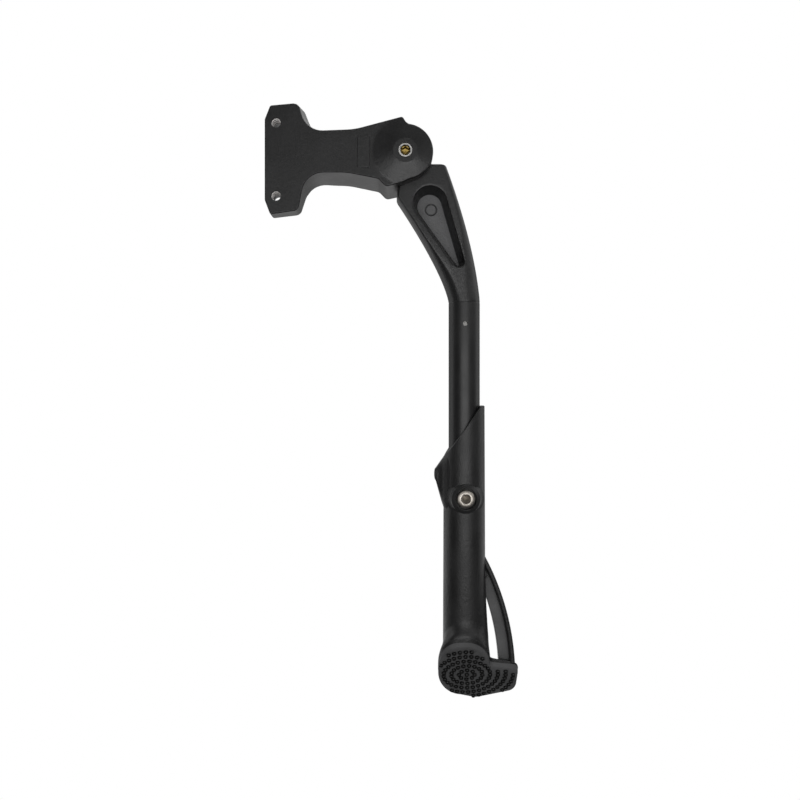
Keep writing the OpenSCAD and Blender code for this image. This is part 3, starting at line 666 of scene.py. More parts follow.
CONE_R = 18 * MM
BOSS_R = 7 * MM
CONE_FOOT = 1.2 * MM
CONE_PROFILE = np.array([
    [0, CONE_TOP_Y], [BOSS_R - 0.5 * MM, CONE_TOP_Y], [BOSS_R - 0.1 * MM, CONE_TOP_Y + 0.06 * MM],
    [BOSS_R + 0.4 * MM, CONE_TOP_Y + 0.2 * MM], [CONE_R - CONE_FOOT, -0.36 * MM],
    [CONE_R - 0.4 * MM, -0.15 * MM], [CONE_R + 0.4 * MM, -0.04 * MM],
    [CONE_R + CONE_FOOT, 0], [FAR, 0]])
PLATE_TOP = HOLE_PITCH / 2 + 11.1 * MM
PLATE_LOW = -HOLE_PITCH / 2 - 10.1 * MM
PLATE_RIGHT = 12.1 * MM
ARM_TOP, ARM_LOW = PIVOT[1] + 11.4 * MM, PIVOT[1] - 11.4 * MM
ARM_BACK = 28.5 * MM
ROOT_DRAFT = 5.4 * MM
# Planes of the back, each through (x, y) with a slope along x
BACK_PLANES = ((-7.3 * MM, 13 * MM, 0.49), (11 * MM, 22 * MM, 0.433),
               (26 * MM, 28.5 * MM, 0.117), (0, FORK_T, 0))


def bracket_corners(draft):
    """The cheek's arc, then the top horn, the arm's upper edge, the plate and the arm's lower
    edge to the low horn: straight runs between fillets, anticlockwise seen from the front.
    The upper root between arm and plate stands out by the draft."""
    plate_bevel, bevel_run = 8 * MM, 3 * MM
    neck_r, root_r, tip_r = 40 * MM, 12 * MM, 1.5 * MM
    back = draft / ROOT_DRAFT
    cheek = arc(PIVOT, CHEEK_R, -78, 83, 80)
    plate_and_arm = rounded_path([
        (*polar(PIVOT, CHEEK_R, 83), 0),
        (*polar(PIVOT, CHEEK_R + 1.1 * MM, 89), tip_r),
        (*polar(PIVOT, CHEEK_R + 4.2 * MM, 94.5), tip_r),
        (PIVOT[0] - 28 * MM, ARM_TOP + 1 * MM, neck_r),
        (PLATE_RIGHT + 4.1 * MM + draft, ARM_TOP, root_r),
        (PLATE_RIGHT + draft, PLATE_TOP, blend(3.6, 1.8, back) * MM),
        (PLATE_EDGE_X + bevel_run, PLATE_TOP - 1.4 * MM, 1.6 * MM),
        (PLATE_EDGE_X, PLATE_TOP - plate_bevel - 1 * MM, 3 * MM),
        (PLATE_EDGE_X, PLATE_LOW + plate_bevel, 3 * MM),
        (PLATE_EDGE_X + bevel_run, PLATE_LOW, 1.6 * MM),
        (PLATE_RIGHT, PLATE_LOW + 2.2 * MM, 3.6 * MM),
        (PLATE_RIGHT + 4 * MM, ARM_LOW, root_r),
        (PIVOT[0] - 32.3 * MM, ARM_LOW, neck_r),
        (PIVOT[0] - 15 * MM, PIVOT[1] - 14.8 * MM, 4 * MM),
        (*polar(PIVOT, 22 * MM, 240.6), 3 * MM),
        (*polar(PIVOT, CHEEK_R + 2.2 * MM, 262), 8 * MM),
        (*polar(PIVOT, CHEEK_R, -78), 0)])
    return np.concatenate([cheek, plate_and_arm[1:-1]])


def bracket_outline(y):
    """The outline at a depth, one y or one for each point: the root's draft grows with the depth
    from the front rim to the back of the arm."""
    front = bracket_corners(0)
    share = np.clip(y / ARM_BACK, 0, 1)
    outlines = [resampled(bracket_corners(draft), 0.5 * MM, front) for draft in (0, ROOT_DRAFT)]
    return blend(*outlines, np.broadcast_to(share, len(outlines[0]))[:, None])


def bracket_front(x, z):
    """The front surface: the shallow cone's profile by distance from the pivot, flat elsewhere."""
    radius = np.hypot(x - PIVOT[0], z - PIVOT[1])
    return np.interp(radius, CONE_PROFILE[:, 0], CONE_PROFILE[:, 1])


def bracket_back(x, z):
    """The back surface: the smooth lowest of the planes that thicken the blank towards the fork
    and of the wedges that thin the plate's two ends."""
    width, lowest = 2 * MM, FAR
    for at, height, slope in BACK_PLANES:
        lowest = smooth_min(lowest, height + slope * (x - at), width)
    wedge = 10 * MM + 0.706 * (PLATE_TOP - np.abs(z))
    beyond_plate = (smooth_step((x - 14 * MM) / (10 * MM))
                    * smooth_step((ARM_TOP + 3 * MM - z) / (3 * MM)))
    clear = np.maximum(beyond_plate, smooth_step((x - 40 * MM) / (8 * MM)))
    return smooth_min(lowest, wedge + 30 * MM * clear, width)


def turned_about_pivot(points, degrees):
    """x-z points given from the pivot, turned about it."""
    c, s = math.cos(math.radians(degrees)), math.sin(math.radians(degrees))
    x, z = np.asarray(points).T
    return PIVOT + np.stack([x * c - z * s, x * s + z * c], -1)


def build_bracket(casting, finish):
    """Front and back surfaces cut from the outline's prism, rims rounded, then the fork's slot,
    the bores and the plain raised panel."""
    outline = bracket_outline(0)
    depths = [2 * CONE_TOP_Y, 0, ARM_BACK, FORK_T + 3 * MM]
    bracket = closed_piece("bracket_casting", np.stack([
        np.insert(bracket_outline(y), 1, y, axis=1) for y in depths]))
    back_rim = outline
    # The rim's draft and its depth follow from each other, and settle in a few rounds
    for _ in range(4):
        back_rim = bracket_outline(bracket_back(*back_rim.T))
    lip_y = 3 * CONE_TOP_Y
    front = lathe("front_space", PIVOT, [(0, lip_y), (FAR, lip_y), *CONE_PROFILE[::-1]], 180)
    xs = np.arange(PLATE_EDGE_X - 4 * MM, BRACKET_HIGH[0] + 4 * MM, 1.2 * MM)
    zs = np.arange(PLATE_LOW - 4 * MM, PLATE_TOP + 4 * MM, 1.2 * MM)
    cut(bracket, front, back_block("back_space", xs, zs, bracket_back),
        edge_tool("front_rim", outline, casting.edge, bracket_front, 1),
        edge_tool("back_rim", back_rim, casting.edge, bracket_back, -1))
    panel_at = np.array([44.4 * MM + casting.panel_width / 2, 4.25 * MM])
    join(bracket, raised_panel(panel_at, casting))
    gap = 0.4 * MM
    slot_front, slot_back = SLAB_FRONT - 0.8 * MM, SLAB_BACK + 0.8 * MM
    stop_gap = 0.3 * MM
    low_stop = HEEL_ANGLE - math.degrees(math.atan(stop_gap / (22 * MM)))
    high_stop = stop_gap - SHOULDER_DROP
    sector = np.stack([
        PIVOT, *polar(PIVOT, FAR, np.array([low_stop, 300, 0, 45])),
        *turned_about_pivot([(FAR, high_stop), (0, high_stop)], SWING_LIMIT)])
    bore_r = (PLUNGER_HIGH[1] - PLUNGER_LOW[1]) / 2 + FIT
    cut(bracket, rod("knuckle_room", PIVOT, slot_front, slot_back, KNUCKLE_R + gap, 144),
        prism("swing_room", sector, slot_front, slot_back),
        rod("axle_bore", PIVOT, -FAR, FAR, AXLE_R + FIT),
        plunger_bore(bore_r))
    for at in BOLT_PLACES:
        cut(bracket, lathe("bolt_hole", at, [
            (THREAD_MOUTH_R, -FAR), (THREAD_MOUTH_R, THREAD_FRONT),
            (HOLE_R, THREAD_FRONT), (HOLE_R, FAR)]))
    finish_piece(bracket, casting_paint(finish), "bracket", "cast_black", "mount_bracket")


def raised_panel(at, casting):
    """A plain raised panel with round corners, its rims drawn in to a draft."""
    half = np.array([casting.panel_width, casting.panel_height]) / 2
    corner_r = 1.2 * MM
    signs = [(1, -1), (1, 1), (-1, 1), (-1, -1)]
    outline = np.concatenate([
        arc(at + (half - corner_r) * np.array(sign), corner_r, -90 + 90 * i, 90 * i, 8)
        for i, sign in enumerate(signs)])
    rise = casting.panel_rise
    return closed_piece("panel", prism_rings(outline, [
        (-rise, 0.5 * MM), (-rise * 0.85, 0.25 * MM), (0.4 * MM, 0)]))


def plunger_bore(radius):
    """The detent plunger's bore along x, from its blind end to the fork."""
    turns = around(64)
    x = np.array([corners("spring_seat")[0][0], PIVOT[0] - KNUCKLE_R + 1 * MM])[:, None]
    y, z = MID_Y + radius * np.cos(turns), PIVOT[1] + radius * np.sin(turns)
    return closed_piece("plunger_bore", spread(x, y, z))


def build_bolt_threads(casting, finish):
    """The bare threads in the two bolt holes, their grooves darkened with the paint's black as
    painted shade. Inner radius = mean - depth * triangle wave of (turn / 2 pi - y / pitch), inside a
    round shell that meets the hole's wall."""
    pitch, depth = casting.thread_pitch, 0.6 * MM
    front, back = THREAD_FRONT, 9.5 * MM
    turns = around(48)
    y = np.linspace(front, back, int((back - front) / pitch * 12) + 1)[:, None]

    def wave(turns, y):
        return np.abs(2 * ((turns / (2 * math.pi) - y / pitch) % 1) - 1)

    inner = HOLE_R - depth * (1 - wave(turns, y))
    radius = np.concatenate([inner, np.full((2, len(turns)), HOLE_R)])
    depth_y = np.concatenate([y, [[back], [front]]])
    metal = turned(finish, "thread_metal", BOLT_PLACES[0])
    # Painted shade: the grooves of the bare thread get the black paint colour
    painted_groove_shade = grained(finish, "thread_groove")
    for name, at in zip(("thread_upper", "thread_lower"), BOLT_PLACES):
        x, z = at[0] + radius * np.cos(turns), at[1] + radius * np.sin(turns)
        piece = closed_piece(name, spread(x, depth_y, z), joined=True)
        finish_piece(piece, metal, "bracket", "bare_steel")
        # Faces near the groove roots, where the wave is above 0.6, get that painted shade
        second_finish(piece, painted_groove_shade, lambda centre, normal, at=at: wave(
            np.arctan2(centre[:, 2] - at[1], centre[:, 0] - at[0]), centre[:, 1]) > 0.6)


# The pivot's turned parts


def build_pivot(finish):
    """The hollow axle, its set screw, the lock nut and the washer."""
    steel = turned(finish, "turned_steel", PIVOT)
    bore = (SET_SCREW_HIGH[0] - SET_SCREW_LOW[0]) / 2 + FIT
    front, back = AXLE_LOW[1], AXLE_HIGH[1]
    bevel = 0.2 * MM
    axle = lathe("axle", PIVOT, [
        (0, back), (AXLE_R - bevel, back), (AXLE_R, back - bevel), (AXLE_R, front + bevel),
        (AXLE_R - bevel, front), (bore + bevel, front), (bore, front + bevel), (bore, back - 3 * MM),
        (0, back - 3 * MM)])
    finish_piece(axle, steel, "bracket", "bare_steel", "pivot_axle")
    radius = bore - FIT
    front, back = SET_SCREW_LOW[1], SET_SCREW_HIGH[1]
    socket = hexagon(4 * MM)
    screw = lathe("set_screw", PIVOT, [
        (0, back - 0.6 * MM), (radius * 0.6, back), (radius - 0.4 * MM, back),
        (radius, back - 0.4 * MM), (radius, front + 0.2 * MM), (radius - 0.2 * MM, front),
        (2.42 * MM, front), (socket, front + 0.15 * MM), (socket, front + 4 * MM),
        (0, front + 4.6 * MM)])
    zinc = turned(finish, "yellow_zinc_plate", PIVOT)
    finish_piece(screw, zinc, "bracket", "yellow_zinc", "axle_screw")
    nut = lathe("lock_nut", PIVOT, nut_profile(
        LOCK_NUT_HIGH[2] - LOCK_NUT_LOW[2], AXLE_R + FIT, LOCK_NUT_LOW[1], LOCK_NUT_HIGH[1]),
        joined=True)
    finish_piece(nut, steel, "bracket", "bare_steel", "axle_nut")
    dress_node("axle_washer", steel)


def nut_profile(across_flats, bore, front, back):
    """A hexagon nut's rings: the hexagon's radius, held inside a cone at each end."""
    flat = across_flats / 2
    drop = (flat * 2 / math.sqrt(3) - flat) * 0.5
    bevel = 0.4 * MM
    ends = [(hexagon(across_flats, blend(flat * 0.98, flat * 1.16, t)), drop * t)
            for t in np.linspace(0, 1, 5)]
    return [
        *[(radius, front + depth) for radius, depth in ends],
        *[(radius, back - depth) for radius, depth in ends[::-1]],
        (bore + bevel, back), (bore, back - bevel), (bore, front + bevel), (bore + bevel, front)]


def dress_node(node, material):
    """Gives a construction node that stays in view its finish."""
    piece = frame["nodes"][node]
    if not piece.material_slots:
        piece.data.materials.append(None)
    for place in piece.material_slots:
        place.material = material


def build_inner_parts(finish):
    """The parts hidden in the fork, the knuckle and the tube."""
    steel = turned(finish, "spring_steel", PIVOT)
    bronze = turned(finish, "bush_bronze", PIVOT)
    for node in ("detent_plunger", "detent_spring", "spring_seat"):
        dress_node(node, steel)
    for node in ("bush_front", "bush_rear"):
        dress_node(node, bronze)
    # The pin's darker steel is painted shade for its recess in the tube's hole
    dress_node("tube_pin", turned(finish, "pin_steel", PIN_AT))


# The leg casting

SHOULDER_Z = PIVOT[1] - SHOULDER_DROP
HEEL_Z = PIVOT[1] - HEEL_DROP
HEEL_LEAN = math.tan(math.radians(HEEL_ANGLE - 270))
POCKET_AT = PIVOT + np.array([13.9, -26.3]) * MM
POCKET_TIP = np.array([TUBE_X - 3.6 * MM, SEAM_Z + 22.3 * MM])
POCKET_R = 9.2 * MM
POCKET_TIP_R = 3 * MM
POCKET_DEPTH = 12 * MM


def ease(t, power):
    """1 - (1 - t) to a power: quick at first, then slow."""
    return 1 - np.power(1 - np.clip(t, 0, 1), power)


def leg_left(z):
    """The leg's left edge: along the heel's ray, then eased to the tube, with a soft heel."""
    ray = PIVOT[0] + (PIVOT[1] - z) * HEEL_LEAN
    start = PIVOT[0] + HEEL_DROP * HEEL_LEAN
    below = blend(start, TUBE_X - TUBE_R, ease((HEEL_Z - z) / (HEEL_Z - SEAM_Z), 1.3))
    return -smooth_min(-ray, -below, 1.2 * MM)


def leg_right(z):
    """The leg's right edge: eased from the shoulder's end to the tube."""
    start = PIVOT[0] + 22.6 * MM
    return blend(start, TUBE_X + TUBE_R, ease((SHOULDER_Z - z) / (SHOULDER_Z - SEAM_Z), 1.45))


def leg_rings():
    """A loft of rectangles whose corner radii grow with t, the share of the way to the seam,
    until the last ring is the tube's circle. Near the shoulder the rings draw in to a round. The
    front left corner is a little too deep for its face, so that they meet in a crease."""
    inward, depth = quarter_round(1.3 * MM)
    top = SHOULDER_Z - depth
    z = np.concatenate([
        top, np.linspace(top[-1], HEEL_Z, 14)[1:],
        np.linspace(HEEL_Z, SEAM_Z + 0.4 * MM, 42)[1:], [SEAM_Z]])
    shrink = np.zeros_like(z)
    shrink[:len(top)] = inward
    shrink[-1] = 0.14 * MM
    t = (SHOULDER_Z - z) / (SHOULDER_Z - SEAM_Z)
    most = TUBE_R - 0.01 * MM
    half_t = blend((SLAB_BACK - SLAB_FRONT) / 2, TUBE_R, t) - shrink
    left_r = np.minimum(blend(3.2 * MM, 9.4 * MM, t ** 1.1), most)
    round_share = np.minimum(t * 1.18, 1)
    right_r = blend(2.4 * MM, most, round_share ** 2.4)
    face_r = blend(3.2 * MM, half_t, round_share ** 1.7) - 0.01 * MM
    left, right = leg_left(z) + shrink, leg_right(z) - shrink
    crease = 1 + 0.2 * smooth_step((0.85 - t) / 0.35)
    quarter = np.radians(np.linspace(0, 90, 25))
    sides = [(right - right_r, right_r, 1, 0), (left + left_r, left_r, 1, 1),
             (left + left_r, left_r, -1, 2), (right - right_r, right_r, -1, 3)]
    parts = []
    for centre, radius, side, turn in sides:
        a = quarter + turn * math.pi / 2
        x = centre[:, None] + radius[:, None] * np.cos(a)
        y = MID_Y + side * (half_t - face_r)[:, None] + face_r[:, None] * np.sin(a)
        if turn == 2:
            deep = MID_Y + (y - MID_Y) * crease[:, None]
            y = -smooth_min(-deep, np.broadcast_to(half_t[:, None] - MID_Y, deep.shape), 0.7 * MM)
        parts.append(spread(x, y, z[:, None]))
    return np.concatenate(parts, 1)


def teardrop(wide_r, tip_r, steps=36):
    """The outline round two circles, the wide one above and the tip: two arcs that meet along
    their common tangents."""
    gap = POCKET_TIP - POCKET_AT
    lean = math.degrees(math.atan2(gap[1], gap[0]))
    side = math.degrees(math.acos((wide_r - tip_r) / np.linalg.norm(gap)))
    return np.concatenate([
        arc(POCKET_AT, wide_r, lean + side, lean + 360 - side, steps),
        arc(POCKET_TIP, tip_r, lean - side, lean + side, steps // 3)])


def pocket_tool(casting):
    """The drafted pocket: teardrops that narrow with depth, from a rounded lip to a filleted
    floor. Rows are the depth and how far the outline lies outside the pocket's own."""
    draft, bevel, sink = 2 * MM, 0.8 * MM, 0.18 * MM
    lip_out, lip_down = quarter_round(casting.lip)
    floor_up, floor_in = quarter_round(0.8 * MM)
    rows = [(-sink, casting.lip + 2 * bevel), *zip(sink + lip_down, lip_out),
            *zip(POCKET_DEPTH - floor_up, -draft - floor_in)]
    rings = []
    for depth, wider in rows:
        tip_r = max(POCKET_TIP_R + wider, 0.25 * MM * (1 + wider / (4 * MM)))
        outline = teardrop(POCKET_R + wider, tip_r)
        rings.append(np.insert(outline, 1, SLAB_FRONT + depth, axis=1))
    return closed_piece("pocket", np.stack(rings))


def ejector_ring(at, y, radius):
    """A plain raised ring, as an ejector pin leaves it."""
    half, rise = 0.45 * MM, 0.8 * MM
    return lathe("ejector_ring", at, [
        (radius - half, y + 0.5 * MM), (radius - half * 0.6, y - rise),
        (radius + half * 0.6, y - rise), (radius + half, y + 0.5 * MM)], 64, joined=True)


def build_leg(casting, finish):
    """The loft, the knuckle with its two flats, the spigot inside the tube and the pocket."""
    leg = closed_piece("leg_casting", leg_rings())
    edge = 0.5 * MM
    knuckle = lathe("knuckle", PIVOT, [
        (0, SLAB_FRONT), (KNUCKLE_R - edge, SLAB_FRONT),
        (KNUCKLE_R - edge * 0.3, SLAB_FRONT + edge * 0.3), (KNUCKLE_R, SLAB_FRONT + edge),
        (KNUCKLE_R, SLAB_BACK - edge), (KNUCKLE_R - edge * 0.3, SLAB_BACK - edge * 0.3),
        (KNUCKLE_R - edge, SLAB_BACK), (0, SLAB_BACK)], 180)
    spigot_r = TUBE_R - TUBE_WALL - FIT
    spigot = closed_piece(
        "spigot", upright_rings([(spigot_r, SEAM_Z + 1 * MM), (spigot_r, LEG_LOW[2])], 64))
    join(leg, knuckle, spigot)
    flat_x, flat_half = 0.8 * MM - KNUCKLE_R, 20 * MM
    flat = [(flat_x, -flat_half), (flat_x, flat_half), (-FAR, flat_half), (-FAR, -flat_half)]
    for turn in (0, -SWING_LIMIT):
        cut(leg, prism("flat", turned_about_pivot(flat, turn), -FAR, FAR))
    bush_r, deep = 5.3 * MM, 6.2 * MM
    core_r = AXLE_R + 0.5 * MM
    cut(leg, lathe("bush_bores", PIVOT, [
        (bush_r, -FAR), (bush_r, SLAB_FRONT + deep), (core_r, SLAB_FRONT + deep),
        (core_r, SLAB_BACK - deep), (bush_r, SLAB_BACK - deep), (bush_r, FAR)]),
        pocket_tool(casting), rod("pin_bore", PIN_AT, -FAR, FAR, PIN_R + FIT, 32))
    floor_y = SLAB_FRONT + POCKET_DEPTH
    join(leg, ejector_ring(POCKET_AT + np.array([0.9, -1.6]) * MM, floor_y, 3.1 * MM))
    finish_piece(leg, casting_paint(finish), "leg", "cast_black", "upper_leg")
    second_finish(leg, grained(finish, "pocket_floor"), floor_at(floor_y, PIVOT[0]))


def build_tube(finish):
    """The round leg tube: chamfered ends, the pin's hole and the clamp's slot."""
    bevel = 0.16 * MM
    inner = TUBE_R - TUBE_WALL
    low, high = TUBE_LOW[2], TUBE_HIGH[2]
    tube = closed_piece("tube", upright_rings([
        (TUBE_R - bevel, high), (TUBE_R, high - bevel * 1.5), (TUBE_R, low + bevel),
        (TUBE_R - bevel, low), (inner + bevel, low), (inner, low + bevel), (inner, high - bevel),
        (inner + bevel, high)]), joined=True)
    half = 3.25 * MM
    slot = np.concatenate([arc(CLAMP_AT + [0, 20 * MM], half, 0, 180, 16),
                           arc(CLAMP_AT - [0, 15 * MM], half, 180, 360, 16)])
    cut(tube, rod("pin_hole", PIN_AT, -FAR, FAR, PIN_R + FIT, 32),
        prism("clamp_slot", slot, -FAR, FAR))
    finish_piece(tube, grained(finish, "tube_paint"), "leg", "tube_black", "leg_tube")


# The moulded lower leg

SOLE_TILT = math.radians(51)
SOLE_Y = MID_Y - 14.8 * MM
SOLE_Z = CLAMP_AT[1] - 81.1 * MM
FOOT_R = 14.8 * MM
TOE_SHIFT = 3.6 * MM
PAD_T = 1.8 * MM
RIM_T = 2 * MM
TREAD_T = 1.6 * MM
TREAD_FALL = math.tan(math.radians(3.5))
TREAD_REACH = 30.6 * MM
TREAD_FRONT = MID_Y - 3.6 * MM
SLEEVE_TOP_R = 11.5 * MM
SLEEVE_LOW_R = 12 * MM
BORE_R = TUBE_R + 0.08 * MM
MOUTH_MID_Z = CLAMP_AT[1] + 39.1 * MM
MOUTH_SLOPE = math.tan(math.radians(54.5))
STRUT_R = 144 * MM
STRUT_W = 8.8 * MM
STRUT_AT = np.array([TUBE_X + TREAD_REACH - 1.8 * MM - STRUT_R, SOLE_Z - 20.5 * MM])
STRUT_FRONT = TREAD_FRONT + 1 * MM
STRUT_WEB = STRUT_FRONT + 4.5 * MM
STRUT_BACK = STRUT_FRONT + 10 * MM
BOSS_FRONT = SCREW_LOW[1] - 0.2 * MM
PAD_EDGE = 0.4 * MM


def above_sole(y, z):
    """Distance of a point above the slanted sole's plane."""
    return (y - SOLE_Y) * math.sin(SOLE_TILT) + (z - SOLE_Z) * math.cos(SOLE_TILT)


def sole_height(y, depth):
    """The z of a point at y that lies the given depth above the sole's plane."""
    return SOLE_Z + (depth - (y - SOLE_Y) * math.sin(SOLE_TILT)) / math.cos(SOLE_TILT)


def mouth_height(x):
    """The z of the sleeve's mouth: a slanted plane, rounded over into its level top."""
    return smooth_min(MOUTH_MID_Z + MOUTH_SLOPE * (x - TUBE_X), MOUTH_TOP_Z, 1.5 * MM)


def rim_radius(turns):
    """Polar radius of the foot's rim: a circle about the tube, with a smaller circle, moved to the
    front and the free side, that bulges out of it. The larger of the two, smoothly joined."""
    shift, small = TOE_SHIFT * math.sqrt(2), FOOT_R - TOE_SHIFT - 0.1 * MM
    off = (turns - math.radians(225) + math.pi) % (2 * math.pi) - math.pi
    bulge = shift * np.cos(off) + np.sqrt(small ** 2 - (shift * np.sin(off)) ** 2)
    return -smooth_min(-bulge, np.full_like(turns, -FOOT_R), 0.8 * MM)


def sleeve_radius(turns, depth, z, rim, flare):
    """The sleeve's radius: a slight taper with a swelling towards the strut's foot, and near the
    sole a curve out to the foot's rim that grows with the power 1.5 of the way down."""
    taper = blend(SLEEVE_LOW_R, SLEEVE_TOP_R, np.clip((z - SOLE_Z) / (MOUTH_TOP_Z - SOLE_Z), 0, 1))
    down = np.clip((SOLE_Z + 47 * MM - z) / (45 * MM), 0, 1)
    swelling = 1.7 * MM * down ** 2 * np.clip(np.cos(turns), 0, 1) ** 2
    share = np.clip((PAD_T + RIM_T + flare - depth) / flare, 0, None)
    return blend(taper + swelling, rim, smooth_min(share ** 1.5, np.ones_like(share), 0.35))


def sleeve_rings(adjuster):
    """One polar grid about the tube's axis: the bore's floor and wall, the rounded mouth, the
    outer wall and the slanted underside. Rows of the wall divide the way from mouth to sole."""
    turns = around(144)
    c, s = np.cos(turns), np.sin(turns)
    rows = []

    def ring(radius, z):
        rows.append(spread(TUBE_X + radius * c, MID_Y + radius * s, z))

    ring(0, BORE_FLOOR_Z)
    for z in np.linspace(BORE_FLOOR_Z, CLAMP_AT[1], 6):
        ring(BORE_R, z)
    down, out = quarter_round(adjuster.rim)
    for radius, drop in [*zip(BORE_R + out, down), *zip(SLEEVE_TOP_R - out[::-1], down[::-1])]:
        ring(radius, mouth_height(TUBE_X + radius * c) - drop)
    top = mouth_height(TUBE_X + SLEEVE_TOP_R * c) - adjuster.rim
    foot_rim = rim_radius(turns)
    shares = np.concatenate([np.linspace(0, 0.84, 30)[1:], np.linspace(0.84, 1, 34)[1:]])
    for share in shares:
        radius = SLEEVE_TOP_R
        # Radius and height follow from each other, and settle in a few rounds
        for _ in range(4):
            y = MID_Y + radius * s
            z = blend(top, sole_height(y, PAD_T), share)
            radius = sleeve_radius(turns, above_sole(y, z), z, foot_rim, adjuster.flare)
        ring(radius, z)
    ring(0, sole_height(MID_Y, PAD_T))
    return np.stack(rows)


FIN_EDGE = np.array([
    # Distance from the tube's axis, height of the lower edge above the clamp screw, half width
    [5, -14, 8.6], [8, -11.5, 8.2], [10, -8.8, 7.0], [11.5, -6.6, 5.6], [12.6, -3.4, 4.4],
    [13.6, 0, 3.7], [14.6, 3.6, 3.2], [15.6, 7.2, 2.9], [16.2, 9.4, 2.7]]) * MM
FIN_TIP = 17 * MM


def fin():
    """The fin beside the mouth: a loft of square-shouldered ovals whose upper edge lies along the
    mouth's slant. The last ones shrink as a circle does, sqrt(1 - s^2), to round the tip."""
    reach = np.linspace(FIN_EDGE[0, 0], FIN_EDGE[-1, 0], 30)
    round_over = np.sin(np.radians(np.linspace(0, 90, 8)))[1:]
    reach = np.concatenate([reach, blend(reach[-1], FIN_TIP, round_over)])
    low = np.interp(reach, FIN_EDGE[:, 0], FIN_EDGE[:, 1]) + CLAMP_AT[1]
    high = MOUTH_MID_Z - MOUTH_SLOPE * np.minimum(reach, FIN_EDGE[-1, 0]) - 0.2 * MM
    width = np.interp(reach, FIN_EDGE[:, 0], FIN_EDGE[:, 2])
    shrink = np.concatenate([np.ones(30), np.sqrt(1 - np.minimum(round_over, 0.995) ** 2)])
    turns = around(56)
    c, s = np.cos(turns), np.sin(turns)
    square = [np.sign(v) * np.abs(v) ** 0.45 for v in (c, s)]
    y = MID_Y + (width * shrink)[:, None] * square[0]
    z = ((high + low) / 2)[:, None] + ((high - low) / 2 * shrink)[:, None] * square[1]
    return closed_piece("fin", spread(TUBE_X - reach[:, None], y, z))


def screw_boss():
    """The boss round the clamp screw and the nut, with a hollow curve out to its wide foot."""
    front, back = BOSS_FRONT, NUT_HIGH[1]
    edge = 0.45 * MM
    rim, foot_r, flare_y = 8 * MM, 10.4 * MM, front + 2.2 * MM
    curve = np.linspace(0, 1, 7)
    return lathe("screw_boss", CLAMP_AT, [
        (0, front), (rim - 1.9 * MM, front), (rim - 0.3 * MM, front + 0.75 * MM),
        (rim, front + 1.2 * MM),
        *[(blend(rim + 0.1 * MM, foot_r, t * t), flare_y + 4 * MM * t) for t in curve],
        (foot_r, MID_Y), (rim + 1 * MM, MID_Y + 0.1 * MM), (rim, back - edge),
        (rim - edge, back), (0, back)])


def strut_band(adjuster):
    """The curved strut: a section of web and round bead, (distance from the arc's centre, y),
    carried along the arc between sleeve and tread."""
    inner, outer = STRUT_R - STRUT_W, STRUT_R
    bead, bead_r, web_r = outer - adjuster.bead, adjuster.bead * 0.45, 0.6 * MM
    section = resampled(rounded_path([
        (inner + 3 * MM, STRUT_BACK, 0), (inner, STRUT_BACK, web_r), (inner, STRUT_WEB, web_r),
        (bead, STRUT_WEB, web_r), (bead, STRUT_FRONT, bead_r), (outer, STRUT_FRONT, bead_r),
        (outer, STRUT_BACK, web_r), (inner + 3 * MM, STRUT_BACK, 0)], 6)[:-1], 0.4 * MM)
    angles = np.radians(np.linspace(-4, 31, 70))[:, None]
    radius, y = section[:, 0], section[:, 1]
    x, z = STRUT_AT[0] + radius * np.cos(angles), STRUT_AT[1] + radius * np.sin(angles)
    return closed_piece("strut", spread(x, y, z))


def foot_outline():
    """The foot seen along z: round about the tube, with a tread to the side that narrows to a
    rounded end. Points are (x, y)."""
    centre = np.array([TUBE_X, MID_Y])
    start, end = -14.1, 94
    reach = TUBE_X + TREAD_REACH
    back = TREAD_FRONT + 15 * MM
    tread = rounded_path([
        (*polar(centre, FOOT_R, start - 12), 0), (*polar(centre, FOOT_R, start + 1), 2.0 * MM),
        (reach, TREAD_FRONT + 2 * MM, 3 * MM), (reach, back, 5 * MM),
        (TUBE_X + 8 * MM, MID_Y + FOOT_R + 1.9 * MM, 12 * MM), (*polar(centre, FOOT_R, end), 0)], 10)
    turns = np.radians(np.linspace(end, 360 + start - 12, 120))
    radius = rim_radius(turns)
    rim = centre + np.stack([radius * np.cos(turns), radius * np.sin(turns)], -1)
    return resampled(np.concatenate([tread, rim[1:-1]]), 0.5 * MM)


def slanted_slab(name, outline, rows, fall=0.0):
    """An (x, y) outline cut by planes parallel to the sole: rows of (depth, inset distance).
    Rows above the first fall towards the tread's end."""
    rings = []
    for depth, distance in rows:
        flat = inset(outline, distance) if distance else outline
        drop = 0 if depth == rows[0][0] else fall * np.maximum(flat[:, 0] - TUBE_X - FOOT_R, 0)
        rings.append(np.stack([flat[:, 0], flat[:, 1], sole_height(flat[:, 1], depth - drop)], -1))
    return closed_piece(name, np.stack(rings))


def rounded_rows(start, end):
    """Rows of (depth, inset) from start to end, with a quarter round of the pad's edge at the
    end."""
    inward, along = quarter_round(math.copysign(PAD_EDGE, end - start))
    return [(start, 0), *zip(end - inward, np.abs(along))]


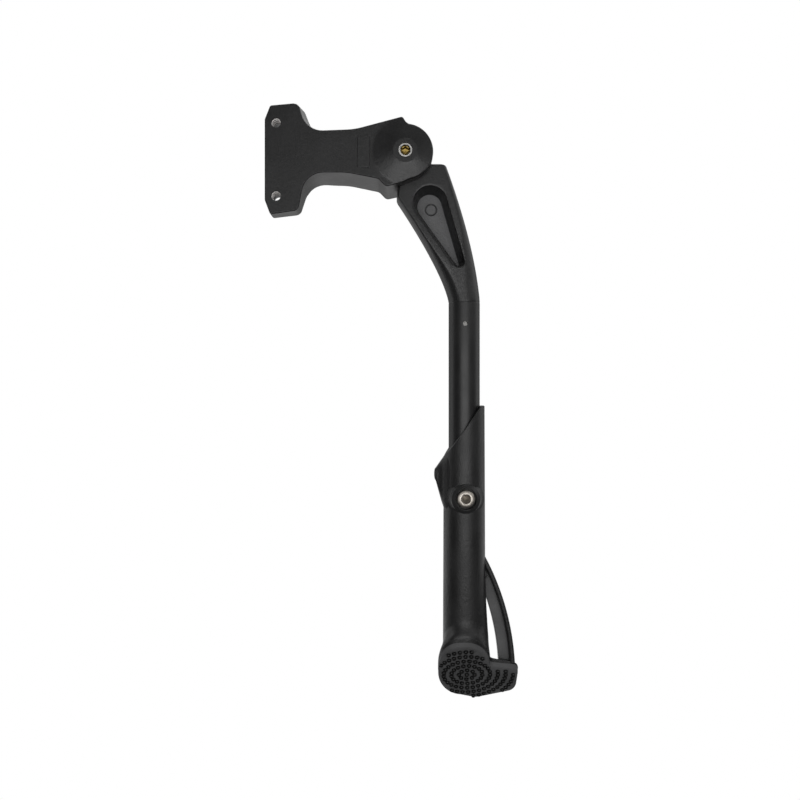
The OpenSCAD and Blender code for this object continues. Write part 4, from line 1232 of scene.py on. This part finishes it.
def build_adjuster(adjuster, finish):
    """The sleeve with its fin, screw boss, side tread and strut, and the cuts for screw and nut."""
    sleeve = closed_piece("lower_leg_moulding", sleeve_rings(adjuster))
    rows = rounded_rows(PAD_T, PAD_T + TREAD_T)
    tread = slanted_slab("tread", foot_outline(), rows, TREAD_FALL)
    strut = strut_band(adjuster)
    square = polar(np.array([TUBE_X, MID_Y]), FAR, np.array([45, 135, 225, 315]))
    cut(strut, slanted_slab("below_sole", square, [(PAD_T, 0), (-FAR, 0)]))
    ring_at = polar(STRUT_AT, STRUT_R - 5.5 * MM, 24.3)
    join(sleeve, fin(), screw_boss(), tread, strut)
    join(sleeve, ejector_ring(ring_at, STRUT_WEB, 2.3 * MM))
    seat, screw_r, counterbore_r = SCREW_LOW[1] + 4 * MM, 3.1 * MM, 5.75 * MM
    bore = closed_piece(
        "bore", upright_rings([(BORE_R, BORE_FLOOR_Z), (BORE_R, MOUTH_TOP_Z + 20 * MM)]))
    nut_room = hexagon(NUT_ACROSS + 0.1 * MM)
    cut(sleeve, bore,
        lathe("counterbore", CLAMP_AT, [
            (counterbore_r + 2 * MM, BOSS_FRONT - 1.6 * MM),
            (counterbore_r, BOSS_FRONT + 0.4 * MM), (counterbore_r, seat)]),
        rod("screw_hole", CLAMP_AT, seat - 1 * MM, FAR, screw_r, 48),
        lathe("nut_pocket", CLAMP_AT, [(nut_room, NUT_LOW[1]), (nut_room, FAR)]))
    finish_piece(sleeve, grained(finish, "moulded_plastic"), "lower_leg", "moulded_black",
                 "lower_leg")
    web_floor = floor_at(STRUT_WEB, TUBE_X + SLEEVE_TOP_R)
    second_finish(sleeve, grained(finish, "moulded_web"), web_floor)


def build_sole(finish):
    """The rubber sole: a slab under the foot's outline, with rings of domed nubs below it."""
    outline = foot_outline()
    slab = slanted_slab("sole", inset(outline, 0.1 * MM), rounded_rows(PAD_T, 0))
    for piece, skin in ((slab, "sole_rubber"), (nubs(outline), "nub_rubber")):
        finish_piece(piece, grained(finish, skin), "lower_leg", "sole_rubber", "foot_pad")


def nubs(outline):
    """Domed nubs on rings about a point of the sole: ring k has radius k pitch and as many nubs
    as its length takes. Each nub is a small dome whose axis is the sole's normal."""
    pitch, step, radius, rise = 4.4 * MM, 3.3 * MM, 1.3 * MM, 1.15 * MM
    centre_u, centre_v = 1.6 * MM, 14.8 * MM / math.cos(SOLE_TILT) + 2.2 * MM
    places = [np.zeros((1, 2))]
    for k in range(1, 10):
        count = round(2 * math.pi * k * pitch / step)
        turns = 2 * math.pi * np.arange(count) / count
        places.append(k * pitch * np.stack([np.cos(turns), np.sin(turns)], -1))
    u, v = (np.concatenate(places) + [centre_u, centre_v]).T
    x, y = TUBE_X + u, SOLE_Y + v * math.cos(SOLE_TILT)
    kept = inside(inset(outline, 1.3 * MM), x, y)
    u, v = u[kept], v[kept]
    dome = np.radians([90, 60, 30, 0])
    profile = [(radius * 0.72 + radius * 0.28 * math.sin(a), rise * math.cos(a)) for a in dome]
    profile = [(radius, -0.5 * MM)] + profile + [(0, rise)]
    turns = around(10)
    r, h = np.array(profile).T[:, :, None]
    local = spread(r * np.cos(turns), r * np.sin(turns), h)
    rows, columns = local.shape[:2]
    du, dv, dh = (local[None, ..., k] for k in range(3))
    all_u, all_v = u[:, None, None] + du, v[:, None, None] + dv
    c, s = math.cos(SOLE_TILT), math.sin(SOLE_TILT)
    points = spread(TUBE_X + all_u, SOLE_Y + all_v * c - dh * s, SOLE_Z - all_v * s - dh * c)
    quads = ring_quads(rows, columns, False)
    caps = np.arange(columns)[::-1]
    start = np.arange(len(u)) * rows * columns
    faces = (quads[None] + start[:, None, None]).reshape(-1, 4).tolist()
    faces += (caps[None] + start[:, None]).tolist()
    return new_piece("sole_nubs", points, faces)


def inside(outline, x, y):
    """Whether points lie inside a closed outline, by counting the edges that a ray crosses."""
    ax, ay = outline.T[:, None, :]
    bx, by = np.roll(outline, -1, 0).T[:, None, :]
    crosses = (ay > y[:, None]) != (by > y[:, None])
    at = ax + (y[:, None] - ay) * (bx - ax) / np.where(by == ay, 1, by - ay)
    return np.sum(crosses & (x[:, None] < at), 1) % 2 == 1


def build_clamp(finish):
    """The socket screw, flat round its socket and sloping to its rim, and the nut behind it."""
    front, back = SCREW_LOW[1], SCREW_HIGH[1]
    seat, head_r, shank_r = front + 4 * MM, (SCREW_HIGH[0] - SCREW_LOW[0]) / 2, 3 * MM
    socket = hexagon(4.7 * MM)
    screw = lathe("clamp_socket_screw", CLAMP_AT, [
        (0, back), (shank_r - 0.4 * MM, back), (shank_r, back - 0.4 * MM), (shank_r, seat),
        (head_r, seat), (head_r, front + 0.8 * MM), (head_r - 0.1 * MM, front + 0.45 * MM),
        (head_r - 0.3 * MM, front + 0.28 * MM), (3.6 * MM, front + 0.06 * MM),
        (3.4 * MM, front), (2.75 * MM, front), (socket, front + 0.2 * MM),
        (socket, front + 2.5 * MM), (0, front + 4.4 * MM)])
    metal = turned(finish, "screw_stainless", CLAMP_AT)
    finish_piece(screw, metal, "lower_leg", "stainless", "clamp_screw")
    nut = lathe("clamp_hexagon_nut", CLAMP_AT, nut_profile(
        NUT_ACROSS, shank_r + FIT, NUT_LOW[1], NUT_HIGH[1]), joined=True)
    finish_piece(nut, metal, "lower_leg", "stainless", "clamp_nut")


# The stage

MIDDLE = (0.08, 0.015, -0.14)
# Name, centre, half width, half height and strength of the cards that reflections see
CARDS = (
    ("card_front", (0.1, -1.7, 0.0), (1.3, 0, 0), (0, 0, 1.3), 0.14),
    ("card_small", (0.075, -1.05, 0.325), (0.11, 0, 0), (0, 0, 0.11), 2.0),
    ("card_left", (-0.9, -0.75, -0.1), (0, 0.8, 0), (0, 0, 1.3), 0.03),
    ("card_right", (1.1, -0.75, -0.6), (0, 0.8, 0), (0, 0, 0.7), 0.03),
    ("card_above", (0.1, -0.3, 1.1), (1.0, 0, 0), (0, 1.0, 0), 0.06),
    ("card_below", (0.1, -0.5, -0.44), (0.9, 0, 0), (0, 0.75, 0), 0.04),
    ("card_behind", (0.1, 1.3, -0.6), (2.5, 0, 0), (0, 0, 1.2), 0.35))
# Name, place, width and height, and power of the lamps
LAMPS = (
    ("front_wide", (0.09, -1.15, -0.19), (1.2, 0.28), 4.8),
    ("above", (0.1, 0.1, 1.0), (0.8, 0.8), 5))


def white_when_seen(tree, plain):
    """A shader that is plain white light to camera, mirror and glass rays and plain elsewhere."""
    path = tree.nodes.new("ShaderNodeLightPath")
    seen = math_node(tree, "MAXIMUM", path.outputs["Is Camera Ray"], path.outputs["Is Glossy Ray"])
    seen = math_node(tree, "MAXIMUM", seen, path.outputs["Is Transmission Ray"])
    mix = tree.nodes.new("ShaderNodeMixShader")
    tree.links.new(seen, mix.inputs["Fac"])
    tree.links.new(plain, mix.inputs[1])
    return mix


def build_world():
    """A soft pale world that is pure white to the camera and in reflections."""
    world = bpy.data.worlds.new("studio")
    world.use_nodes = True
    tree = world.node_tree
    soft = tree.nodes["Background"]
    soft.inputs["Color"].default_value = (1, 1, 1, 1)
    soft.inputs["Strength"].default_value = 0.6
    white = tree.nodes.new("ShaderNodeBackground")
    white.inputs["Color"].default_value = (1, 1, 1, 1)
    white.inputs["Strength"].default_value = 1.0
    mix = white_when_seen(tree, soft.outputs["Background"])
    tree.links.new(white.outputs["Background"], mix.inputs[2])
    tree.links.new(mix.outputs["Shader"], tree.nodes["World Output"].inputs["Surface"])
    bpy.context.scene.world = world


def flat_card(name, centre, across, up, material):
    """A rectangle at a centre, spanned by two half vectors."""
    centre, across, up = (np.array(v) for v in (centre, across, up))
    sides = ((-1, -1), (1, -1), (1, 1), (-1, 1))
    mesh = bpy.data.meshes.new(name)
    mesh.from_pydata([(centre + a * across + b * up).tolist() for a, b in sides], [],
                     [[0, 1, 2, 3]])
    mesh.materials.append(material)
    card = linked(name, mesh)
    return card


def dim_card(name, centre, across, up, strength):
    """A card of an even dim glow that only reflections see."""
    material = bpy.data.materials.new(name)
    material.use_nodes = True
    tree = material.node_tree
    glow = tree.nodes.new("ShaderNodeEmission")
    glow.inputs["Strength"].default_value = strength
    tree.links.new(glow.outputs["Emission"], tree.nodes["Material Output"].inputs["Surface"])
    card = flat_card(name, centre, across, up, material)
    card.visible_camera = False
    card.visible_diffuse = False
    card.visible_shadow = False
    card.visible_transmission = False


def soft_box(name, place, size, power):
    """An area lamp that faces the middle of the object."""
    light = bpy.data.lights.new(name, "AREA")
    light.shape = "RECTANGLE"
    light.size, light.size_y = size
    light.energy = power
    lamp = linked(name, light)
    lamp.location = place
    direction = Vector(MIDDLE) - Vector(place)
    lamp.rotation_euler = direction.to_track_quat("-Z", "Y").to_euler()


def build_stage(stage):
    """The camera at the photograph's angle, the pale floor, the lamps and the dim cards that
    only reflections see."""
    build_world()
    floor_material = bpy.data.materials.new("floor_white")
    floor_material.use_nodes = True
    tree = floor_material.node_tree
    tree.nodes["Principled BSDF"].inputs["Base Color"].default_value = (0.8, 0.8, 0.8, 1)
    tree.nodes["Principled BSDF"].inputs["Roughness"].default_value = 0.9
    glow = tree.nodes.new("ShaderNodeEmission")
    glow.inputs["Color"].default_value = (1, 1, 1, 1)
    mix = white_when_seen(tree, tree.nodes["Principled BSDF"].outputs["BSDF"])
    tree.links.new(glow.outputs["Emission"], mix.inputs[2])
    tree.links.new(mix.outputs["Shader"], tree.nodes["Material Output"].inputs["Surface"])
    flat_card("floor", (0.07, 0.5, -stage.floor_drop), (3, 0, 0), (0, 3, 0), floor_material)

    for name, centre, across, up, strength in CARDS:
        dim_card(name, centre, across, up, strength)
    for name, place, size, power in LAMPS:
        soft_box(name, place, size, power)

    camera_data = bpy.data.cameras.new("camera")
    camera_data.angle = 2 * math.atan(stage.view_width / 2 / stage.camera_distance)
    camera_data.clip_start = 0.01
    camera = linked("camera", camera_data)
    camera.location = (stage.camera_x, -stage.camera_distance, -stage.camera_drop)
    camera.rotation_euler = (math.pi / 2, 0, 0)
    bpy.context.scene.camera = camera
    bpy.context.scene.view_settings.view_transform = "Standard"


# Operators


class KICKSTAND_OT_bracket(bpy.types.Operator):
    """Build the bracket casting"""
    bl_idname = "kickstand.bracket"
    bl_label = "Bracket"

    def execute(self, context):
        build_bracket(context.scene.kickstand_casting, context.scene.kickstand_finish)
        return {"FINISHED"}


class KICKSTAND_OT_threads(bpy.types.Operator):
    """Build the threads in the two frame bolt holes"""
    bl_idname = "kickstand.threads"
    bl_label = "Bolt Threads"

    def execute(self, context):
        build_bolt_threads(context.scene.kickstand_casting, context.scene.kickstand_finish)
        return {"FINISHED"}


class KICKSTAND_OT_pivot(bpy.types.Operator):
    """Build the axle, its set screw, lock nut and washer"""
    bl_idname = "kickstand.pivot"
    bl_label = "Pivot"

    def execute(self, context):
        build_pivot(context.scene.kickstand_finish)
        return {"FINISHED"}


class KICKSTAND_OT_inner(bpy.types.Operator):
    """Finish the parts hidden in the fork, the knuckle and the tube"""
    bl_idname = "kickstand.inner"
    bl_label = "Inner Parts"

    def execute(self, context):
        build_inner_parts(context.scene.kickstand_finish)
        return {"FINISHED"}


class KICKSTAND_OT_leg(bpy.types.Operator):
    """Build the leg casting with its pocket"""
    bl_idname = "kickstand.leg"
    bl_label = "Leg Casting"

    def execute(self, context):
        build_leg(context.scene.kickstand_casting, context.scene.kickstand_finish)
        return {"FINISHED"}


class KICKSTAND_OT_tube(bpy.types.Operator):
    """Build the round leg tube"""
    bl_idname = "kickstand.tube"
    bl_label = "Leg Tube"

    def execute(self, context):
        build_tube(context.scene.kickstand_finish)
        return {"FINISHED"}


class KICKSTAND_OT_adjuster(bpy.types.Operator):
    """Build the moulded lower leg"""
    bl_idname = "kickstand.adjuster"
    bl_label = "Lower Leg"

    def execute(self, context):
        build_adjuster(context.scene.kickstand_adjuster, context.scene.kickstand_finish)
        return {"FINISHED"}


class KICKSTAND_OT_clamp(bpy.types.Operator):
    """Build the clamp screw and its nut"""
    bl_idname = "kickstand.clamp"
    bl_label = "Clamp Screw"

    def execute(self, context):
        build_clamp(context.scene.kickstand_finish)
        return {"FINISHED"}


class KICKSTAND_OT_sole(bpy.types.Operator):
    """Build the nubbed rubber sole"""
    bl_idname = "kickstand.sole"
    bl_label = "Sole"

    def execute(self, context):
        build_sole(context.scene.kickstand_finish)
        return {"FINISHED"}


class KICKSTAND_OT_stage(bpy.types.Operator):
    """Set up the camera, the floor and the light"""
    bl_idname = "kickstand.stage"
    bl_label = "Stage"

    def execute(self, context):
        build_stage(context.scene.kickstand_stage)
        return {"FINISHED"}


OPERATORS = (
    KICKSTAND_OT_bracket, KICKSTAND_OT_threads, KICKSTAND_OT_pivot, KICKSTAND_OT_inner,
    KICKSTAND_OT_leg, KICKSTAND_OT_tube, KICKSTAND_OT_adjuster, KICKSTAND_OT_clamp,
    KICKSTAND_OT_sole, KICKSTAND_OT_stage)
SETTINGS = {
    "kickstand_casting": KickstandCasting, "kickstand_adjuster": KickstandAdjuster,
    "kickstand_finish": KickstandFinish, "kickstand_stage": KickstandStage}


class KICKSTAND_PT_sidebar(bpy.types.Panel):
    """The kickstand's settings and building steps"""
    bl_label = "Kickstand"
    bl_idname = "KICKSTAND_PT_sidebar"
    bl_space_type = "VIEW_3D"
    bl_region_type = "UI"
    bl_category = "Kickstand"

    def draw(self, context):
        for label in SETTINGS:
            box = self.layout.box()
            group = getattr(context.scene, label)
            for item in group.bl_rna.properties:
                if item.identifier not in ("name", "rna_type"):
                    box.prop(group, item.identifier)
        for operator in OPERATORS:
            self.layout.operator(operator.bl_idname)


def register():
    """Registers the classes and hangs the settings on the scene."""
    for cls in (*SETTINGS.values(), *OPERATORS, KICKSTAND_PT_sidebar):
        bpy.utils.register_class(cls)
    for label, group in SETTINGS.items():
        setattr(bpy.types.Scene, label, bpy.props.PointerProperty(type=group))


def unregister():
    """Takes the settings and the classes away again."""
    for label in SETTINGS:
        delattr(bpy.types.Scene, label)
    for cls in (KICKSTAND_PT_sidebar, *OPERATORS, *SETTINGS.values()):
        bpy.utils.unregister_class(cls)


def main():
    """Builds every piece and the stage."""
    register()
    for operator in OPERATORS:
        group, name = operator.bl_idname.split(".")
        getattr(getattr(bpy.ops, group), name)()


if __name__ == "__main__":
    main()
